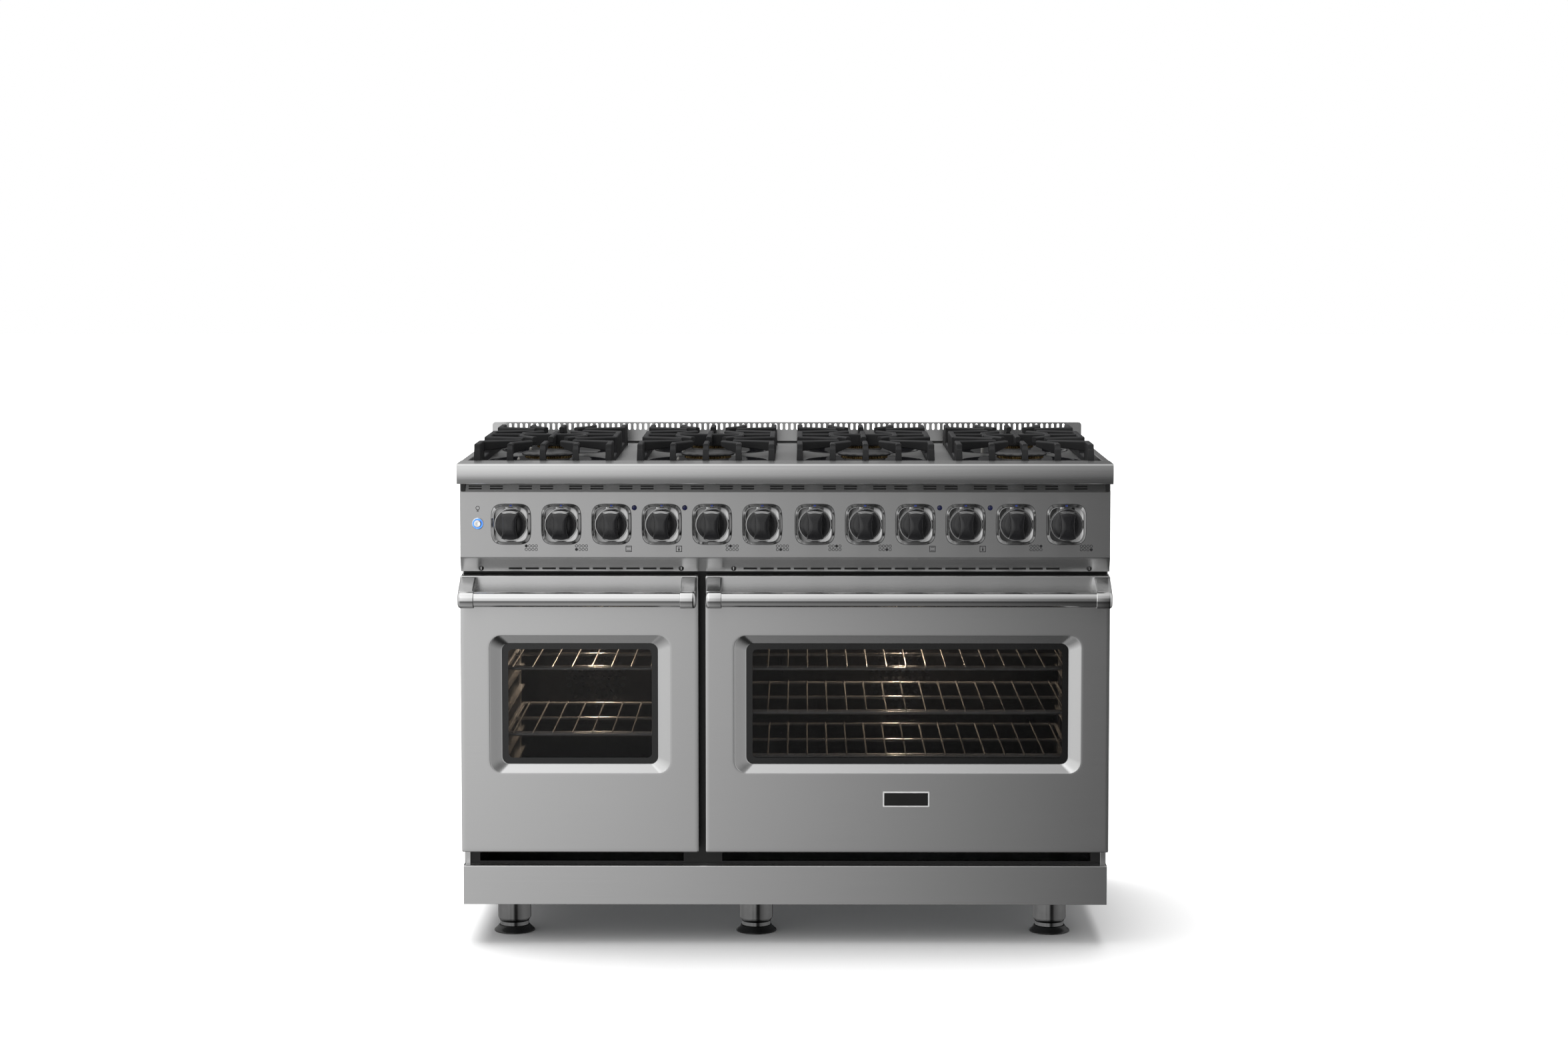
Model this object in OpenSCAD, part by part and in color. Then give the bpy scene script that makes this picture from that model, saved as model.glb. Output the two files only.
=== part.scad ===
// Free-standing gas range, 48 inch class: eight burners, two ovens, drop-down doors.
// Frame: origin on the floor below the middle, +X right, +Y to the back, +Z up, millimetres.

/* [Overall size] */
// Width across the landing ledge
range_w = 1216; // [1206:1:1226]
// Depth from the door handles to the back trim
range_d = 732; // [728:1:736]
// Height of the landing ledge above the floor
ledge_top = 914; // [910:1:920]
// Leg height, from the floor to the bottom of the body
leg_h = 76; // [70:1:80]

/* [Cooktop] */
// Height of the cooking surface of the grates above the pan
grate_h = 42; // [36:1:46]
// Diameter of a burner cap
cap_d = 102; // [90:1:108]
// Diameter of a bowl around a burner
bowl_d = 224; // [216:1:232]

/* [Controls] */
// Distance from knob to knob
knob_pitch = 93.7; // [92:0.1:94]
// Knob diameter
knob_d = 58; // [50:1:60]
// Bezel width
bezel_w = 74; // [70:1:78]

/* [Doors] */
// Width of the left door
left_door_w = 445; // [440:1:447]
// Gap between the two doors
door_gap = 13; // [11:1:16]
// Handle tube diameter
handle_d = 28.5; // [26:0.5:30]

/* [Ovens] */
// Inside width of the left oven
left_oven_w = 305; // [300:1:310]
// Inside width of the right oven
right_oven_w = 643; // [635:1:648]
// Inside height of both ovens
oven_h = 420; // [415:1:424]
// Inside depth of both ovens
oven_d = 460; // [450:1:462]

/* [Hidden] */
$fn = 48;
sheet = 2;
gap = 0.5;

// Planes from front to back
half_w = range_w / 2;
body_x = half_w - 2;
y_front = -range_d / 2;
y_back = range_d / 2;
ledge_y = y_front + 36;
face_y = y_front + 76;
door_back = y_front + 112;
frame_y = y_front + 118;
kick_y = y_front + 93;
ledge_back = y_front + 116;

// Levels from the floor up
kick_top = leg_h + 74;
door_z0 = 179;
door_z1 = 701;
lip_z = 708;
panel_z0 = 734;
ledge_z0 = ledge_top - 38;
panel_z1 = ledge_z0 + 8;
pan_z = ledge_top - 11;
grate_z = pan_z + grate_h;
trim_z = ledge_top + 32;

// Doors: left edge and width of each, and the hinge axis
door_x = [-half_w + 1, -half_w + 1 + left_door_w + door_gap];
door_w = [left_door_w, range_w - 2 - left_door_w - door_gap];
hinge_y = face_y + 24;
hinge_z = door_z0 + 7;
pin_r = 5;
hinge_inset = 44;

// Handles: axis of the tube
handle_y = y_front + 16.5;
handle_z = 664;

// Windows: dish outer size, glass size, and centre height
win_z = 459;
dish_margin = 54.5;
dish_h = 259;
glass_h = 227;
bevel_w = 22.5;
dish_depth = 10;

// Ovens: centre and width of each
oven_x = [door_x[0] + door_w[0] / 2, door_x[1] + door_w[1] / 2];
oven_w = [left_oven_w, right_oven_w];
oven_z0 = 230;
oven_z1 = oven_z0 + oven_h;
oven_y0 = frame_y + 3;
oven_y1 = oven_y0 + oven_d;
rack_step = 42;
rack_level = [for (i = [0 : 8]) oven_z0 + 32 + i * rack_step];
rack_use = [[3, 6], [2, 4, 6]];
baffle_size = [[230, 280], [470, 290]];
baffle_y = oven_y1 - 34;
fan_z = oven_z0 + oven_h / 2;
fan_r = 80;
blanket_t = 24;
motor_y = oven_y1 + sheet + blanket_t;
shaft_r = 4;
fit = 0.05;

// Knobs: a row of six, then a second row of six after a wider step
knob_z = 798;
knob_x0 = -511;
knob_x1 = 55.5;
knob_x = [for (k = [0 : 11]) k < 6 ? knob_x0 + k * knob_pitch : knob_x1 + (k - 6) * knob_pitch];
bezel_t = 7;
button_x = -573;
led_x = [-281, -187, 288, 382];
led_z = 829;

// Burners: four columns, two rows
col_x = [-455, -149, 151, 450];
grate_y0 = ledge_back + 6;
grate_len = 554;
row_y = [grate_y0 + 140, grate_y0 + grate_len - 140];
grate_half = 130;
post_step = 61.7;
bowl_z = pan_z - 12;

// Legs
leg_x = [-521, -56, 507];
leg_y = [-155, 300];
leg_r = 31.5;

// Gas line, and the knob of the back and the front burner of each column
back_knob = [0, 4, 6, 10];
front_knob = [1, 5, 7, 11];
manifold_z = knob_z - 14;
manifold_y = frame_y + 22;
manifold_r = 12;
inlet_r = 10.65;
inlet_x = 560;
inlet_z = 110;

// ---- Helpers ----

// A box from its low corner to its high corner
module block(a, b) {
    translate(a) cube(b - a);
}

// A 2D shape drawn in X and Z, made into a plate from y to y + t
module front_plate(y, t) {
    translate([0, y + t, 0]) rotate([90, 0, 0]) linear_extrude(t) children();
}

// A 2D shape drawn in Y and Z, made into a bar from x0 to x1
module side_plate(x0, x1) {
    translate([x0, 0, 0]) rotate([90, 0, 90]) linear_extrude(x1 - x0) children();
}

// A cylinder along Y from y0 to y1
module y_rod(r, y0, y1) {
    translate([0, y1, 0]) rotate([90, 0, 0]) cylinder(r = r, h = y1 - y0);
}

// A cylinder along X from x0 to x1
module x_rod(r, x0, x1) {
    translate([x0, 0, 0]) rotate([0, 90, 0]) cylinder(r = r, h = x1 - x0);
}

// A round tube from point a to point b
module rod_between(a, b, r) {
    d = b - a;
    flat = norm([d[0], d[1]]);
    translate(a) rotate([0, atan2(flat, d[2]), atan2(d[1], d[0])]) cylinder(r = r, h = norm(d));
}

// A rounded rectangle about a centre
module rounded(w, h, r) {
    square([w - 2 * r, h], center = true);
    square([w, h - 2 * r], center = true);
    for (sx = [-1, 1], sy = [-1, 1])
        translate([sx * (w / 2 - r), sy * (h / 2 - r)]) circle(r = r);
}

// A slot with round ends, w wide and h high
module slot(w, h) {
    r = min(w, h) / 2;
    square([w > h ? w - 2 * r : w, w > h ? h : h - 2 * r], center = true);
    for (s = [-1, 1]) translate(w > h ? [s * (w / 2 - r), 0] : [0, s * (h / 2 - r)]) circle(r = r);
}

// ---- Body ----

module base_pan() {
    color("silver") {
        block([-body_x + sheet, kick_y + sheet, leg_h], [body_x - sheet, y_back - 6, leg_h + 3]);
        block([-body_x + 20, kick_y + 60, leg_h + 3], [body_x - 20, kick_y + 63, leg_h + 28]);
        block([-body_x + 20, y_back - 40, leg_h + 3], [inlet_x - 40, y_back - 37, leg_h + 28]);
    }
}

// Side outline: kick step, door recess, and the control box standing forward above it
module side_outline() {
    polygon([
        [kick_y + sheet, leg_h],
        [kick_y + sheet, kick_top],
        [frame_y, kick_top],
        [frame_y, lip_z],
        [face_y + 14, lip_z],
        [face_y + sheet, panel_z0],
        [face_y + sheet, pan_z - sheet],
        [y_back - 6, pan_z - sheet],
        [y_back - 6, leg_h]
    ]);
}

module left_side_panel() {
    color("gainsboro") side_plate(-body_x, -body_x + sheet) side_outline();
}

module right_side_panel() {
    color("gainsboro") side_plate(body_x - sheet, body_x) side_outline();
}

// Back sheet with louvre slots and the hole for the gas inlet
module rear_panel() {
    color("lightgray") front_plate(y_back - 6, sheet) difference() {
        translate([-body_x, leg_h]) square([2 * body_x, pan_z - sheet - leg_h]);
        for (c = [0, 1], j = [0 : 5], i = [-3 : 3])
            translate([oven_x[c] + i * 42, 780 + j * 14]) slot(30, 5);
        translate([inlet_x, inlet_z]) circle(r = 20);
    }
}

// Frame around the two oven mouths, with an open slot under each door
module front_frame() {
    color("silver") {
        front_plate(frame_y, 3) difference() {
            translate([-body_x + sheet, kick_top]) square([2 * (body_x - sheet), lip_z - kick_top]);
            for (i = [0, 1]) {
                translate([oven_x[i], (oven_z0 + oven_z1) / 2]) rounded(oven_w[i], oven_h, 12);
                translate([oven_x[i], kick_top + 15]) square([door_w[i] - 60, 22], center = true);
            }
        }
        for (x = [-body_x + sheet, oven_x[0] + door_w[0] / 2 - 12, body_x - sheet - 14])
            block([x, frame_y + 3, kick_top], [x + 14, frame_y + 23, lip_z - 20]);
    }
}

module kick_panel() {
    color("silver") {
        block([-body_x, kick_y, leg_h], [body_x, kick_y + sheet, kick_top]);
        block(
            [-body_x + sheet, kick_y + sheet, kick_top - sheet],
            [body_x - sheet, frame_y, kick_top]
        );
    }
}

module leg_tubes() {
    color("silver") for (x = leg_x, y = leg_y) translate([x, y, 0]) rotate_extrude()
        polygon([[10.2, 21], [leg_r - 4, 21], [leg_r, 27], [leg_r, leg_h], [10.2, leg_h]]);
}

// Levelling foot: flared flange, collar, and the screw that runs up into the leg
module leg_feet() {
    color("dimgray") for (x = leg_x, y = leg_y) translate([x, y, 0]) rotate_extrude() polygon([
        [0, 0], [39, 0], [39, 3], [30, 12], [27.5, 12], [27.5, 20.5], [10, 20.5], [10, 68], [0, 68]
    ]);
}

// ---- Front ----

// Landing ledge: a folded sheet with a rounded front and closed ends
module landing_ledge() {
    mid = (ledge_y + ledge_back + 20) / 2;
    wide = ledge_back + 20 - ledge_y;
    color("gainsboro") {
        side_plate(-half_w, half_w) difference() {
            translate([mid, ledge_top - 19]) rounded(wide, 38, 6);
            translate([mid, ledge_top - 19]) rounded(wide - 2 * sheet, 38 - 2 * sheet, 4);
            translate([ledge_back, ledge_z0 - 1]) square([30, 50]);
            translate([face_y, ledge_z0 - 1]) square([ledge_back - face_y + 1, 14]);
        }
        for (x = [-half_w, half_w - sheet]) side_plate(x, x + sheet) intersection() {
            translate([mid, ledge_top - 19]) rounded(wide, 38, 6);
            translate([ledge_y, ledge_z0]) square([ledge_back - ledge_y, 38]);
        }
    }
}

// Control panel: front sheet, lower lip folded inwards, vent strip hidden under the ledge
module control_panel() {
    color("silver") difference() {
        side_plate(-body_x, body_x) polygon([
            [face_y, panel_z1],
            [face_y, panel_z0],
            [face_y + 12, lip_z],
            [face_y + 14, lip_z],
            [face_y + sheet, panel_z0],
            [face_y + sheet, panel_z1]
        ]);
        front_plate(face_y - 1, sheet + 2) {
            for (x = knob_x) translate([x, knob_z]) circle(r = 7);
            translate([button_x, knob_z + 1]) circle(r = 5.6);
            for (x = led_x) translate([x, led_z]) circle(r = 4.9);
            for (x = concat([knob_x[0] - knob_pitch], knob_x), dx = [27, 66.5], dz = [0, 4.4])
                if (x + dx < body_x - 14) translate([x + dx, panel_z1 - 19.6 + dz]) slot(24, 2.4);
        }
        front_plate(face_y - 1, 16) {
            for (i = [0 : 9]) translate([-504 + i * 31.4, lip_z + 6]) slot(25, 3);
            for (i = [0 : 18]) translate([-65 + i * 31.4, lip_z + 6]) slot(25, 3);
        }
    }
}

// One bezel behind each knob: a rounded square plate with a shallow round seat
module knob_bezels() {
    color("whitesmoke") for (x = knob_x) translate([x, 0, knob_z]) difference() {
        front_plate(face_y - bezel_t, bezel_t) rounded(bezel_w, bezel_w + 2, 20);
        y_rod(knob_d / 2 + 2, face_y - bezel_t - 1, face_y - bezel_t + 2);
        y_rod(7, face_y - bezel_t - 1, face_y + 1);
    }
}

// Four indicator lamps, and the ring and switch behind the light button
module indicator_lights() {
    color("midnightblue") for (x = led_x) translate([x, 0, led_z]) {
        y_rod(4.75, face_y - 3, face_y + sheet + 4);
        y_rod(6, face_y + sheet, face_y + sheet + 4);
    }
    color("whitesmoke") translate([button_x, 0, knob_z + 1]) {
        difference() {
            y_rod(10.75, face_y - 4, face_y);
            y_rod(9.4, face_y - 5, face_y + 1);
        }
        difference() {
            block([-9, face_y + sheet, -12], [9, face_y + 30, 12]);
            y_rod(5 + fit, face_y, face_y + 27);
        }
    }
}

module light_button() {
    color("whitesmoke") translate([button_x, 0, knob_z + 1]) {
        y_rod(9, face_y - 6, face_y - 2.5);
        y_rod(5, face_y - 3, face_y + 22);
    }
}

// A knob: skirt, raised grip ridge with a bevelled front, and the valve shaft
module knob(i) {
    back = face_y - bezel_t - gap;
    color([0.12, 0.12, 0.13]) translate([knob_x[i], 0, knob_z]) {
        y_rod(knob_d / 2, back - 9, back);
        intersection() {
            y_rod(knob_d / 2 - 1.5, back - 32, back - 9);
            side_plate(-13.3, 13.3) polygon([
                [back - 8, -30], [back - 26, -27], [back - 32, -20],
                [back - 32, 20], [back - 26, 27], [back - 8, 30]
            ]);
        }
        y_rod(shaft_r, back, face_y + 38);
    }
}

// ---- Cooktop ----

// Pan with side rims, and a dished bowl round each burner
module cooktop_pan() {
    rim = 18;
    color("silver") difference() {
        union() {
            block([-half_w, ledge_back, pan_z - sheet], [half_w, y_back - 4, pan_z]);
            for (s = [0, 1]) mirror([s, 0, 0]) front_plate(ledge_back, y_back - 4 - ledge_back)
                polygon([
                    [half_w - rim, pan_z - 1], [half_w - rim + 4, ledge_top],
                    [half_w, ledge_top], [half_w, pan_z - 1]
                ]);
        }
        for (x = col_x, y = row_y) translate([x, y, pan_z - sheet - 1]) cylinder(r = bowl_d / 2, h = 4);
    }
    color("dimgray") for (x = col_x, y = row_y) translate([x, y, 0]) rotate_extrude() polygon([
        [bowl_d / 2 + 1, pan_z], [bowl_d / 2 - 1, pan_z], [bowl_d / 2 - 14, bowl_z], [16, bowl_z],
        [16, bowl_z - sheet], [bowl_d / 2 - 13, bowl_z - sheet], [bowl_d / 2 + 1, pan_z - sheet]
    ]);
}

// Low upstand along the back edge, with a row of tall slots above a row of small ones
module island_trim() {
    slot_pitch = 11.2;
    n = floor((half_w - 32) / slot_pitch);
    color("gainsboro") front_plate(y_back - 4, 4) difference() {
        union() {
            translate([-half_w, pan_z - sheet]) square([range_w, trim_z - pan_z - 4]);
            translate([-half_w + 6, pan_z - sheet]) square([range_w - 12, trim_z - pan_z + sheet]);
            for (s = [-1, 1]) translate([s * (half_w - 6), trim_z - 6]) circle(r = 6);
        }
        for (i = [-n : n]) translate([i * slot_pitch, trim_z - 9.2]) slot(5.5, 13.6);
        for (i = [-n : n]) translate([i * slot_pitch, pan_z + 2]) slot(7, 2.6);
    }
}

module burner_bases() {
    color("darkgray") for (x = col_x, y = row_y) translate([x, y, 0]) {
        translate([0, 0, bowl_z]) cylinder(r = cap_d / 2 - 11, h = 18);
        translate([0, 0, bowl_z - 17]) cylinder(r = 14, h = 17);
    }
}

module burner_rings() {
    color("goldenrod") for (x = col_x, y = row_y) translate([x, y, bowl_z + 18]) difference() {
        cylinder(r = cap_d / 2 - 6, h = 5);
        translate([0, 0, -1]) cylinder(r = 18, h = 7);
    }
}

module burner_caps() {
    r = cap_d / 2;
    color([0.1, 0.1, 0.1]) for (x = col_x, y = row_y) translate([x, y, bowl_z + 23]) rotate_extrude()
        polygon([[0, 0], [r - 2, 0], [r, 2], [r, 4], [r - 4, 6.5], [0, 7.5]]);
}

module igniters() {
    color("white") for (x = col_x, y = row_y) translate([x - cap_d / 2 - 6, y, bowl_z]) {
        cylinder(r = 3, h = 17);
        cylinder(r = 1, h = 21);
    }
}

// ---- Grates ----

// A grate bar from a to b in plan, h0 deep at a and h1 deep at b, with its top at the grate's top
module grate_bar(a, b, h0, h1, w = 11) {
    d = b - a;
    len = norm(d);
    translate([a[0], a[1], 0]) rotate([0, 0, atan2(d[1], d[0])]) translate([0, w / 2, 0])
        rotate([90, 0, 0]) linear_extrude(w)
            polygon([[0, grate_z - h0], [0, grate_z], [len, grate_z], [len, grate_z - h1]]);
}

// The fingers of one quarter of a grate: front outer, front diagonal, middle outer, middle diagonal
module grate_quarter() {
    side = 2 * post_step;
    mid = grate_len / 2;
    grate_bar([side, 84], [50, 112], 20, 12);
    grate_bar([post_step, 0], [post_step, 46], 24, 22);
    grate_bar([post_step, 42], [30, 92], 22, 12);
    grate_bar([side, 200], [50, 168], 20, 12);
    grate_bar([post_step, mid], [post_step, 234], 22, 22);
    grate_bar([post_step, 238], [30, 188], 22, 12);
    block([side - 5.5, 0, pan_z], [side + 5.5, 89, grate_z]);
    block([side - 5.5, 195, pan_z], [side + 5.5, mid + 1, grate_z]);
    block([side - 5.5, 80, pan_z], [side + 5.5, 200, pan_z + 11]);
    for (x = [post_step, side]) block([x - 6.5, 0, pan_z], [x + 6.5, 13, grate_z - 1]);
}

// A grate: low base frame, front and back posts, cross bar, and fingers towards both burners
module grate(c) {
    mid = grate_len / 2;
    color([0.13, 0.13, 0.13]) translate([col_x[c], grate_y0, 0]) {
        for (flip = [0, 1]) translate([0, flip * grate_len, 0]) mirror([0, flip, 0]) {
            for (s = [0, 1]) mirror([s, 0, 0]) grate_quarter();
            block([-grate_half, 0, pan_z], [grate_half, 10, pan_z + 11]);
            block([-6.5, 0, pan_z], [6.5, 13, grate_z - 1]);
            grate_bar([0, 0], [0, 84], 24, 12);
            grate_bar([0, mid], [0, 194], 22, 12);
        }
        block([-2 * post_step, mid - 5.5, grate_z - 22], [2 * post_step, mid + 5.5, grate_z]);
    }
}

// ---- Gas line ----

// Manifold behind the knobs, down the back to the inlet nipple
module gas_manifold() {
    elbow = 17;
    riser_y = y_back - 36;
    color("darkslategray") {
        translate([0, manifold_y, manifold_z]) x_rod(manifold_r, knob_x[0] - 20, inlet_x);
        for (x = knob_x) translate([x, 0, knob_z - 10]) y_rod(8, face_y + 48, manifold_y);
        translate([inlet_x, 0, manifold_z]) y_rod(inlet_r, manifold_y, riser_y);
        translate([inlet_x, riser_y, inlet_z]) cylinder(r = inlet_r, h = manifold_z - inlet_z);
        for (p = [[manifold_y, manifold_z], [riser_y, manifold_z], [riser_y, inlet_z]])
            translate([inlet_x, p[0], p[1]]) cube(2 * elbow, center = true);
        translate([inlet_x, 0, inlet_z]) y_rod(inlet_r, riser_y, y_back - 2);
    }
}

// A feed tube from a valve up and across to the stem of its burner
module feed_tube(k, x, y, z) {
    top = knob_z + 18;
    from = [knob_x[k], face_y + 26, z];
    translate([knob_x[k], face_y + 26, top]) cylinder(r = 4, h = z - top);
    translate(from) sphere(r = 4.2);
    rod_between(from, [x, y, z], 4);
    translate([x, y, z]) sphere(r = 4.2);
    translate([x, y, z]) cylinder(r = 4, h = bowl_z - 17 - z);
}

// Twelve valve and thermostat bodies, and the eight burner feed tubes
module gas_valves() {
    color("burlywood") {
        for (x = knob_x) translate([x, 0, knob_z]) difference() {
            union() {
                y_rod(11, face_y + sheet, face_y + 11);
                block([-18, face_y + 10, -18], [18, face_y + 48, 18]);
            }
            y_rod(shaft_r + fit, face_y, face_y + 42);
        }
        for (c = [0 : 3]) {
            feed_tube(back_knob[c], col_x[c], row_y[1], bowl_z - 44);
            feed_tube(front_knob[c], col_x[c], row_y[0], bowl_z - 24);
        }
    }
}

// ---- Ovens ----

// Open-fronted box of porcelain steel, with a hole in the back for the fan shaft
module oven_liner(i) {
    w = oven_w[i] / 2;
    color([0.2, 0.2, 0.24]) translate([oven_x[i], 0, 0]) difference() {
        block([-w - sheet, oven_y0, oven_z0 - sheet], [w + sheet, oven_y1 + sheet, oven_z1 + sheet]);
        block([-w, oven_y0 - 1, oven_z0], [w, oven_y1, oven_z1]);
        translate([0, 0, fan_z]) y_rod(8, oven_y1 - 1, oven_y1 + sheet + 1);
    }
}

// Ladder ledges on both side walls of each oven
module rack_guides() {
    color("silver") for (i = [0, 1], s = [-1, 1]) translate([oven_x[i], 0, 0]) {
        wall = oven_w[i] / 2;
        for (z = rack_level) {
            low = min(s * wall, s * (wall - 10));
            block([low, oven_y0 + 18, z - 3], [low + 10, baffle_y - 12, z]);
        }
        for (y = [oven_y0 + 30, baffle_y - 32]) {
            low = min(s * wall, s * (wall - 3));
            block([low, y, rack_level[0] - 20], [low + 3, y + 12, oven_z1 - 20]);
        }
    }
}

// A wire rack: round frame, a second front rod, and wires from front to back
module wire_rack(w, y0, y1) {
    wires = floor((w - 20) / 37.5);
    for (s = [-1, 1]) translate([s * (w / 2 - 3), 0, 3]) y_rod(3, y0, y1, $fn = 8);
    for (y = [y0 + 3, y0 + 24, (y0 + y1) / 2, y1 - 3])
        translate([0, y, 3]) x_rod(3, -w / 2 + 3, w / 2 - 3, $fn = 8);
    for (k = [-wires / 2 : wires / 2]) translate([k * 37.5, 0, 6]) y_rod(2, y0 + 2, y1 - 2, $fn = 8);
}

module oven_racks() {
    color("lightgray") for (i = [0, 1], k = rack_use[i])
        translate([oven_x[i], 0, rack_level[k]]) wire_rack(oven_w[i] - 7, oven_y0 + 20, baffle_y - 14);
}

// Back baffle with a round grille of holes in front of the fan, on four spacers
module fan_baffles() {
    hole_pitch = 14;
    color("dimgray") for (i = [0, 1]) translate([oven_x[i], 0, fan_z]) {
        front_plate(baffle_y, sheet) difference() {
            rounded(baffle_size[i][0], baffle_size[i][1], 10);
            circle(r = 4.5);
            for (ring = [1 : 4], k = [0 : 6 * ring - 1])
                rotate(k * 60 / ring) translate([ring * hole_pitch, 0]) circle(r = 4.5);
        }
        for (sx = [-1, 1], sz = [-1, 1])
            translate([sx * (baffle_size[i][0] / 2 - 14), 0, sz * (baffle_size[i][1] / 2 - 14)])
                y_rod(4, baffle_y + 1, oven_y1);
    }
}

// Convection fan: hub, eight blades, back disc, and the shaft into the motor
module fan(i) {
    blades = 8;
    color("lightgray") translate([oven_x[i], 0, fan_z]) {
        y_rod(14, baffle_y + 6, baffle_y + 24);
        y_rod(fan_r - 2, baffle_y + 22, baffle_y + 24);
        for (k = [0 : blades - 1]) rotate([0, k * 360 / blades, 0])
            block([0, baffle_y + 6, -1], [fan_r, baffle_y + 23, 1]);
        y_rod(shaft_r, baffle_y + 24, motor_y + 34);
    }
}

module fan_motors() {
    color("slategray") for (i = [0, 1]) translate([oven_x[i], 0, fan_z]) difference() {
        union() {
            y_rod(44, motor_y, motor_y + 48);
            block([-70, motor_y, -8], [70, motor_y + 3, 8]);
        }
        y_rod(shaft_r + fit, motor_y - 1, motor_y + 38);
    }
}

// A lamp high on the back wall of each oven: socket plate and round glass
module oven_lamps() {
    color("ivory") for (i = [0, 1]) translate([oven_x[i], 0, oven_z1 - 25]) {
        y_rod(20, oven_y1 - 6, oven_y1);
        intersection() {
            translate([0, oven_y1 - 6, 0]) sphere(r = 16.5);
            y_rod(18, oven_y1 - 25, oven_y1 - 5);
        }
    }
}

// A tube burner under each oven floor and a flat broiler at each oven ceiling
module oven_burners() {
    color("gray") for (i = [0, 1]) {
        for (s = oven_w[i] > 400 ? [-1, 1] : [0])
            translate([oven_x[i] + s * 140, 0, oven_z0 - 32]) difference() {
                y_rod(14, oven_y0, oven_y1 - 40);
                y_rod(12, oven_y0 - 1, oven_y1 - 42);
            }
        half = oven_w[i] / 2 - 70;
        translate([oven_x[i], 0, oven_z1]) difference() {
            block([-half, oven_y0 + 90, -16], [half, oven_y1 - 110, 0]);
            block([-half + sheet, oven_y0 + 92, -17], [half - sheet, oven_y1 - 112, -sheet]);
        }
    }
}

// Blanket round the top, sides and back of each liner
module oven_insulation() {
    t = blanket_t;
    color("khaki") for (i = [0, 1]) translate([oven_x[i], 0, 0]) difference() {
        w = oven_w[i] / 2 + sheet;
        block([-w - t, oven_y0 + 22, oven_z0], [w + t, oven_y1 + sheet + t, oven_z1 + sheet + t]);
        block([-w, oven_y0 - 1, oven_z0 - 1], [w, oven_y1 + sheet, oven_z1 + sheet]);
        translate([0, 0, fan_z]) y_rod(14, oven_y1, oven_y1 + sheet + t + 1);
    }
}

module oven_gaskets() {
    color("dimgray") for (i = [0, 1]) translate([oven_x[i], 0, (oven_z0 + oven_z1) / 2])
        front_plate(door_back + 0.4, frame_y - door_back - 0.4) difference() {
            rounded(oven_w[i] + 22, oven_h + 22, 22);
            rounded(oven_w[i] + 4, oven_h + 4, 14);
        }
}

// ---- Doors ----

// X of the two hinge arms of a door
function hinge_x(i) = [door_x[i] + hinge_inset, door_x[i] + door_w[i] - hinge_inset];

// Fixed hinge arms with their pins, reaching into a notch at each lower corner of the doors
module door_hinges() {
    color("gray") for (i = [0, 1], x = hinge_x(i)) translate([x, 0, 0]) {
        block([-3, hinge_y - 6, hinge_z - 6], [3, frame_y, hinge_z + 6]);
        translate([0, hinge_y, hinge_z]) x_rod(pin_r, -17, 17);
    }
}

module hinge_notches(i) {
    for (x = hinge_x(i))
        block([x - 4.5, hinge_y - 12, door_z0 - 1], [x + 4.5, door_back + 1, hinge_z + 14]);
}

module door_outline(i, inset = 0) {
    translate([door_x[i] + inset, door_z0 + inset])
        square([door_w[i] - 2 * inset, door_z1 - door_z0 - 2 * inset]);
}

module window_shape(i, grow, r) {
    translate([door_x[i] + door_w[i] / 2, win_z])
        rounded(door_w[i] - 2 * dish_margin + 2 * grow, dish_h + 2 * grow, r);
}

module glass_shape(i, grow = 0) {
    translate([door_x[i] + door_w[i] / 2, win_z])
        rounded(door_w[i] - 2 * dish_margin - 2 * bevel_w + 2 * grow, glass_h + 2 * grow, 13 + grow);
}

// Outer door shell: front sheet, folded edges and the recessed window dish
module door_skin(i) {
    color("gainsboro") difference() {
        union() {
            front_plate(face_y, sheet) difference() {
                door_outline(i);
                window_shape(i, 0, 22);
            }
            front_plate(face_y + 1, door_back - face_y - 3) difference() {
                door_outline(i);
                door_outline(i, sheet);
            }
            front_plate(face_y + 1, dish_depth - 1) difference() {
                window_shape(i, 2, 24);
                window_shape(i, 0, 22);
            }
            front_plate(face_y + dish_depth - sheet, sheet) difference() {
                window_shape(i, 1, 23);
                glass_shape(i);
            }
        }
        hinge_notches(i);
    }
}

// Inner door panel: back sheet, window tunnel and the hinge blocks with their bores
module door_liner(i) {
    pane_back = face_y + dish_depth + 5;
    color("silver") difference() {
        union() {
            front_plate(door_back - sheet, sheet) difference() {
                door_outline(i);
                glass_shape(i);
            }
            front_plate(pane_back, door_back - sheet - pane_back + 1) difference() {
                glass_shape(i, 3);
                glass_shape(i);
            }
            for (x = hinge_x(i))
                block([x - 20, hinge_y - 11, door_z0 + 2.5], [x + 20, door_back - 1, hinge_z + 12]);
        }
        hinge_notches(i);
        for (x = hinge_x(i)) translate([x, hinge_y, hinge_z]) x_rod(pin_r + fit, -21, 21);
    }
}

// Two panes: the dark outer one behind the dish, and the inner one in the tunnel
module door_glass(i) {
    color([0.1, 0.1, 0.12, 0.6]) {
        front_plate(face_y + dish_depth, 5) glass_shape(i, 10);
        front_plate(door_back - 7, 4) glass_shape(i, -0.05);
    }
}

module door_handle(i) {
    r = handle_d / 2;
    color("silver") translate([0, handle_y, handle_z]) difference() {
        x_rod(r, door_x[i] + 5, door_x[i] + door_w[i] - 5);
        x_rod(r - 2, door_x[i] + 4, door_x[i] + door_w[i] - 4);
    }
}

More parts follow.
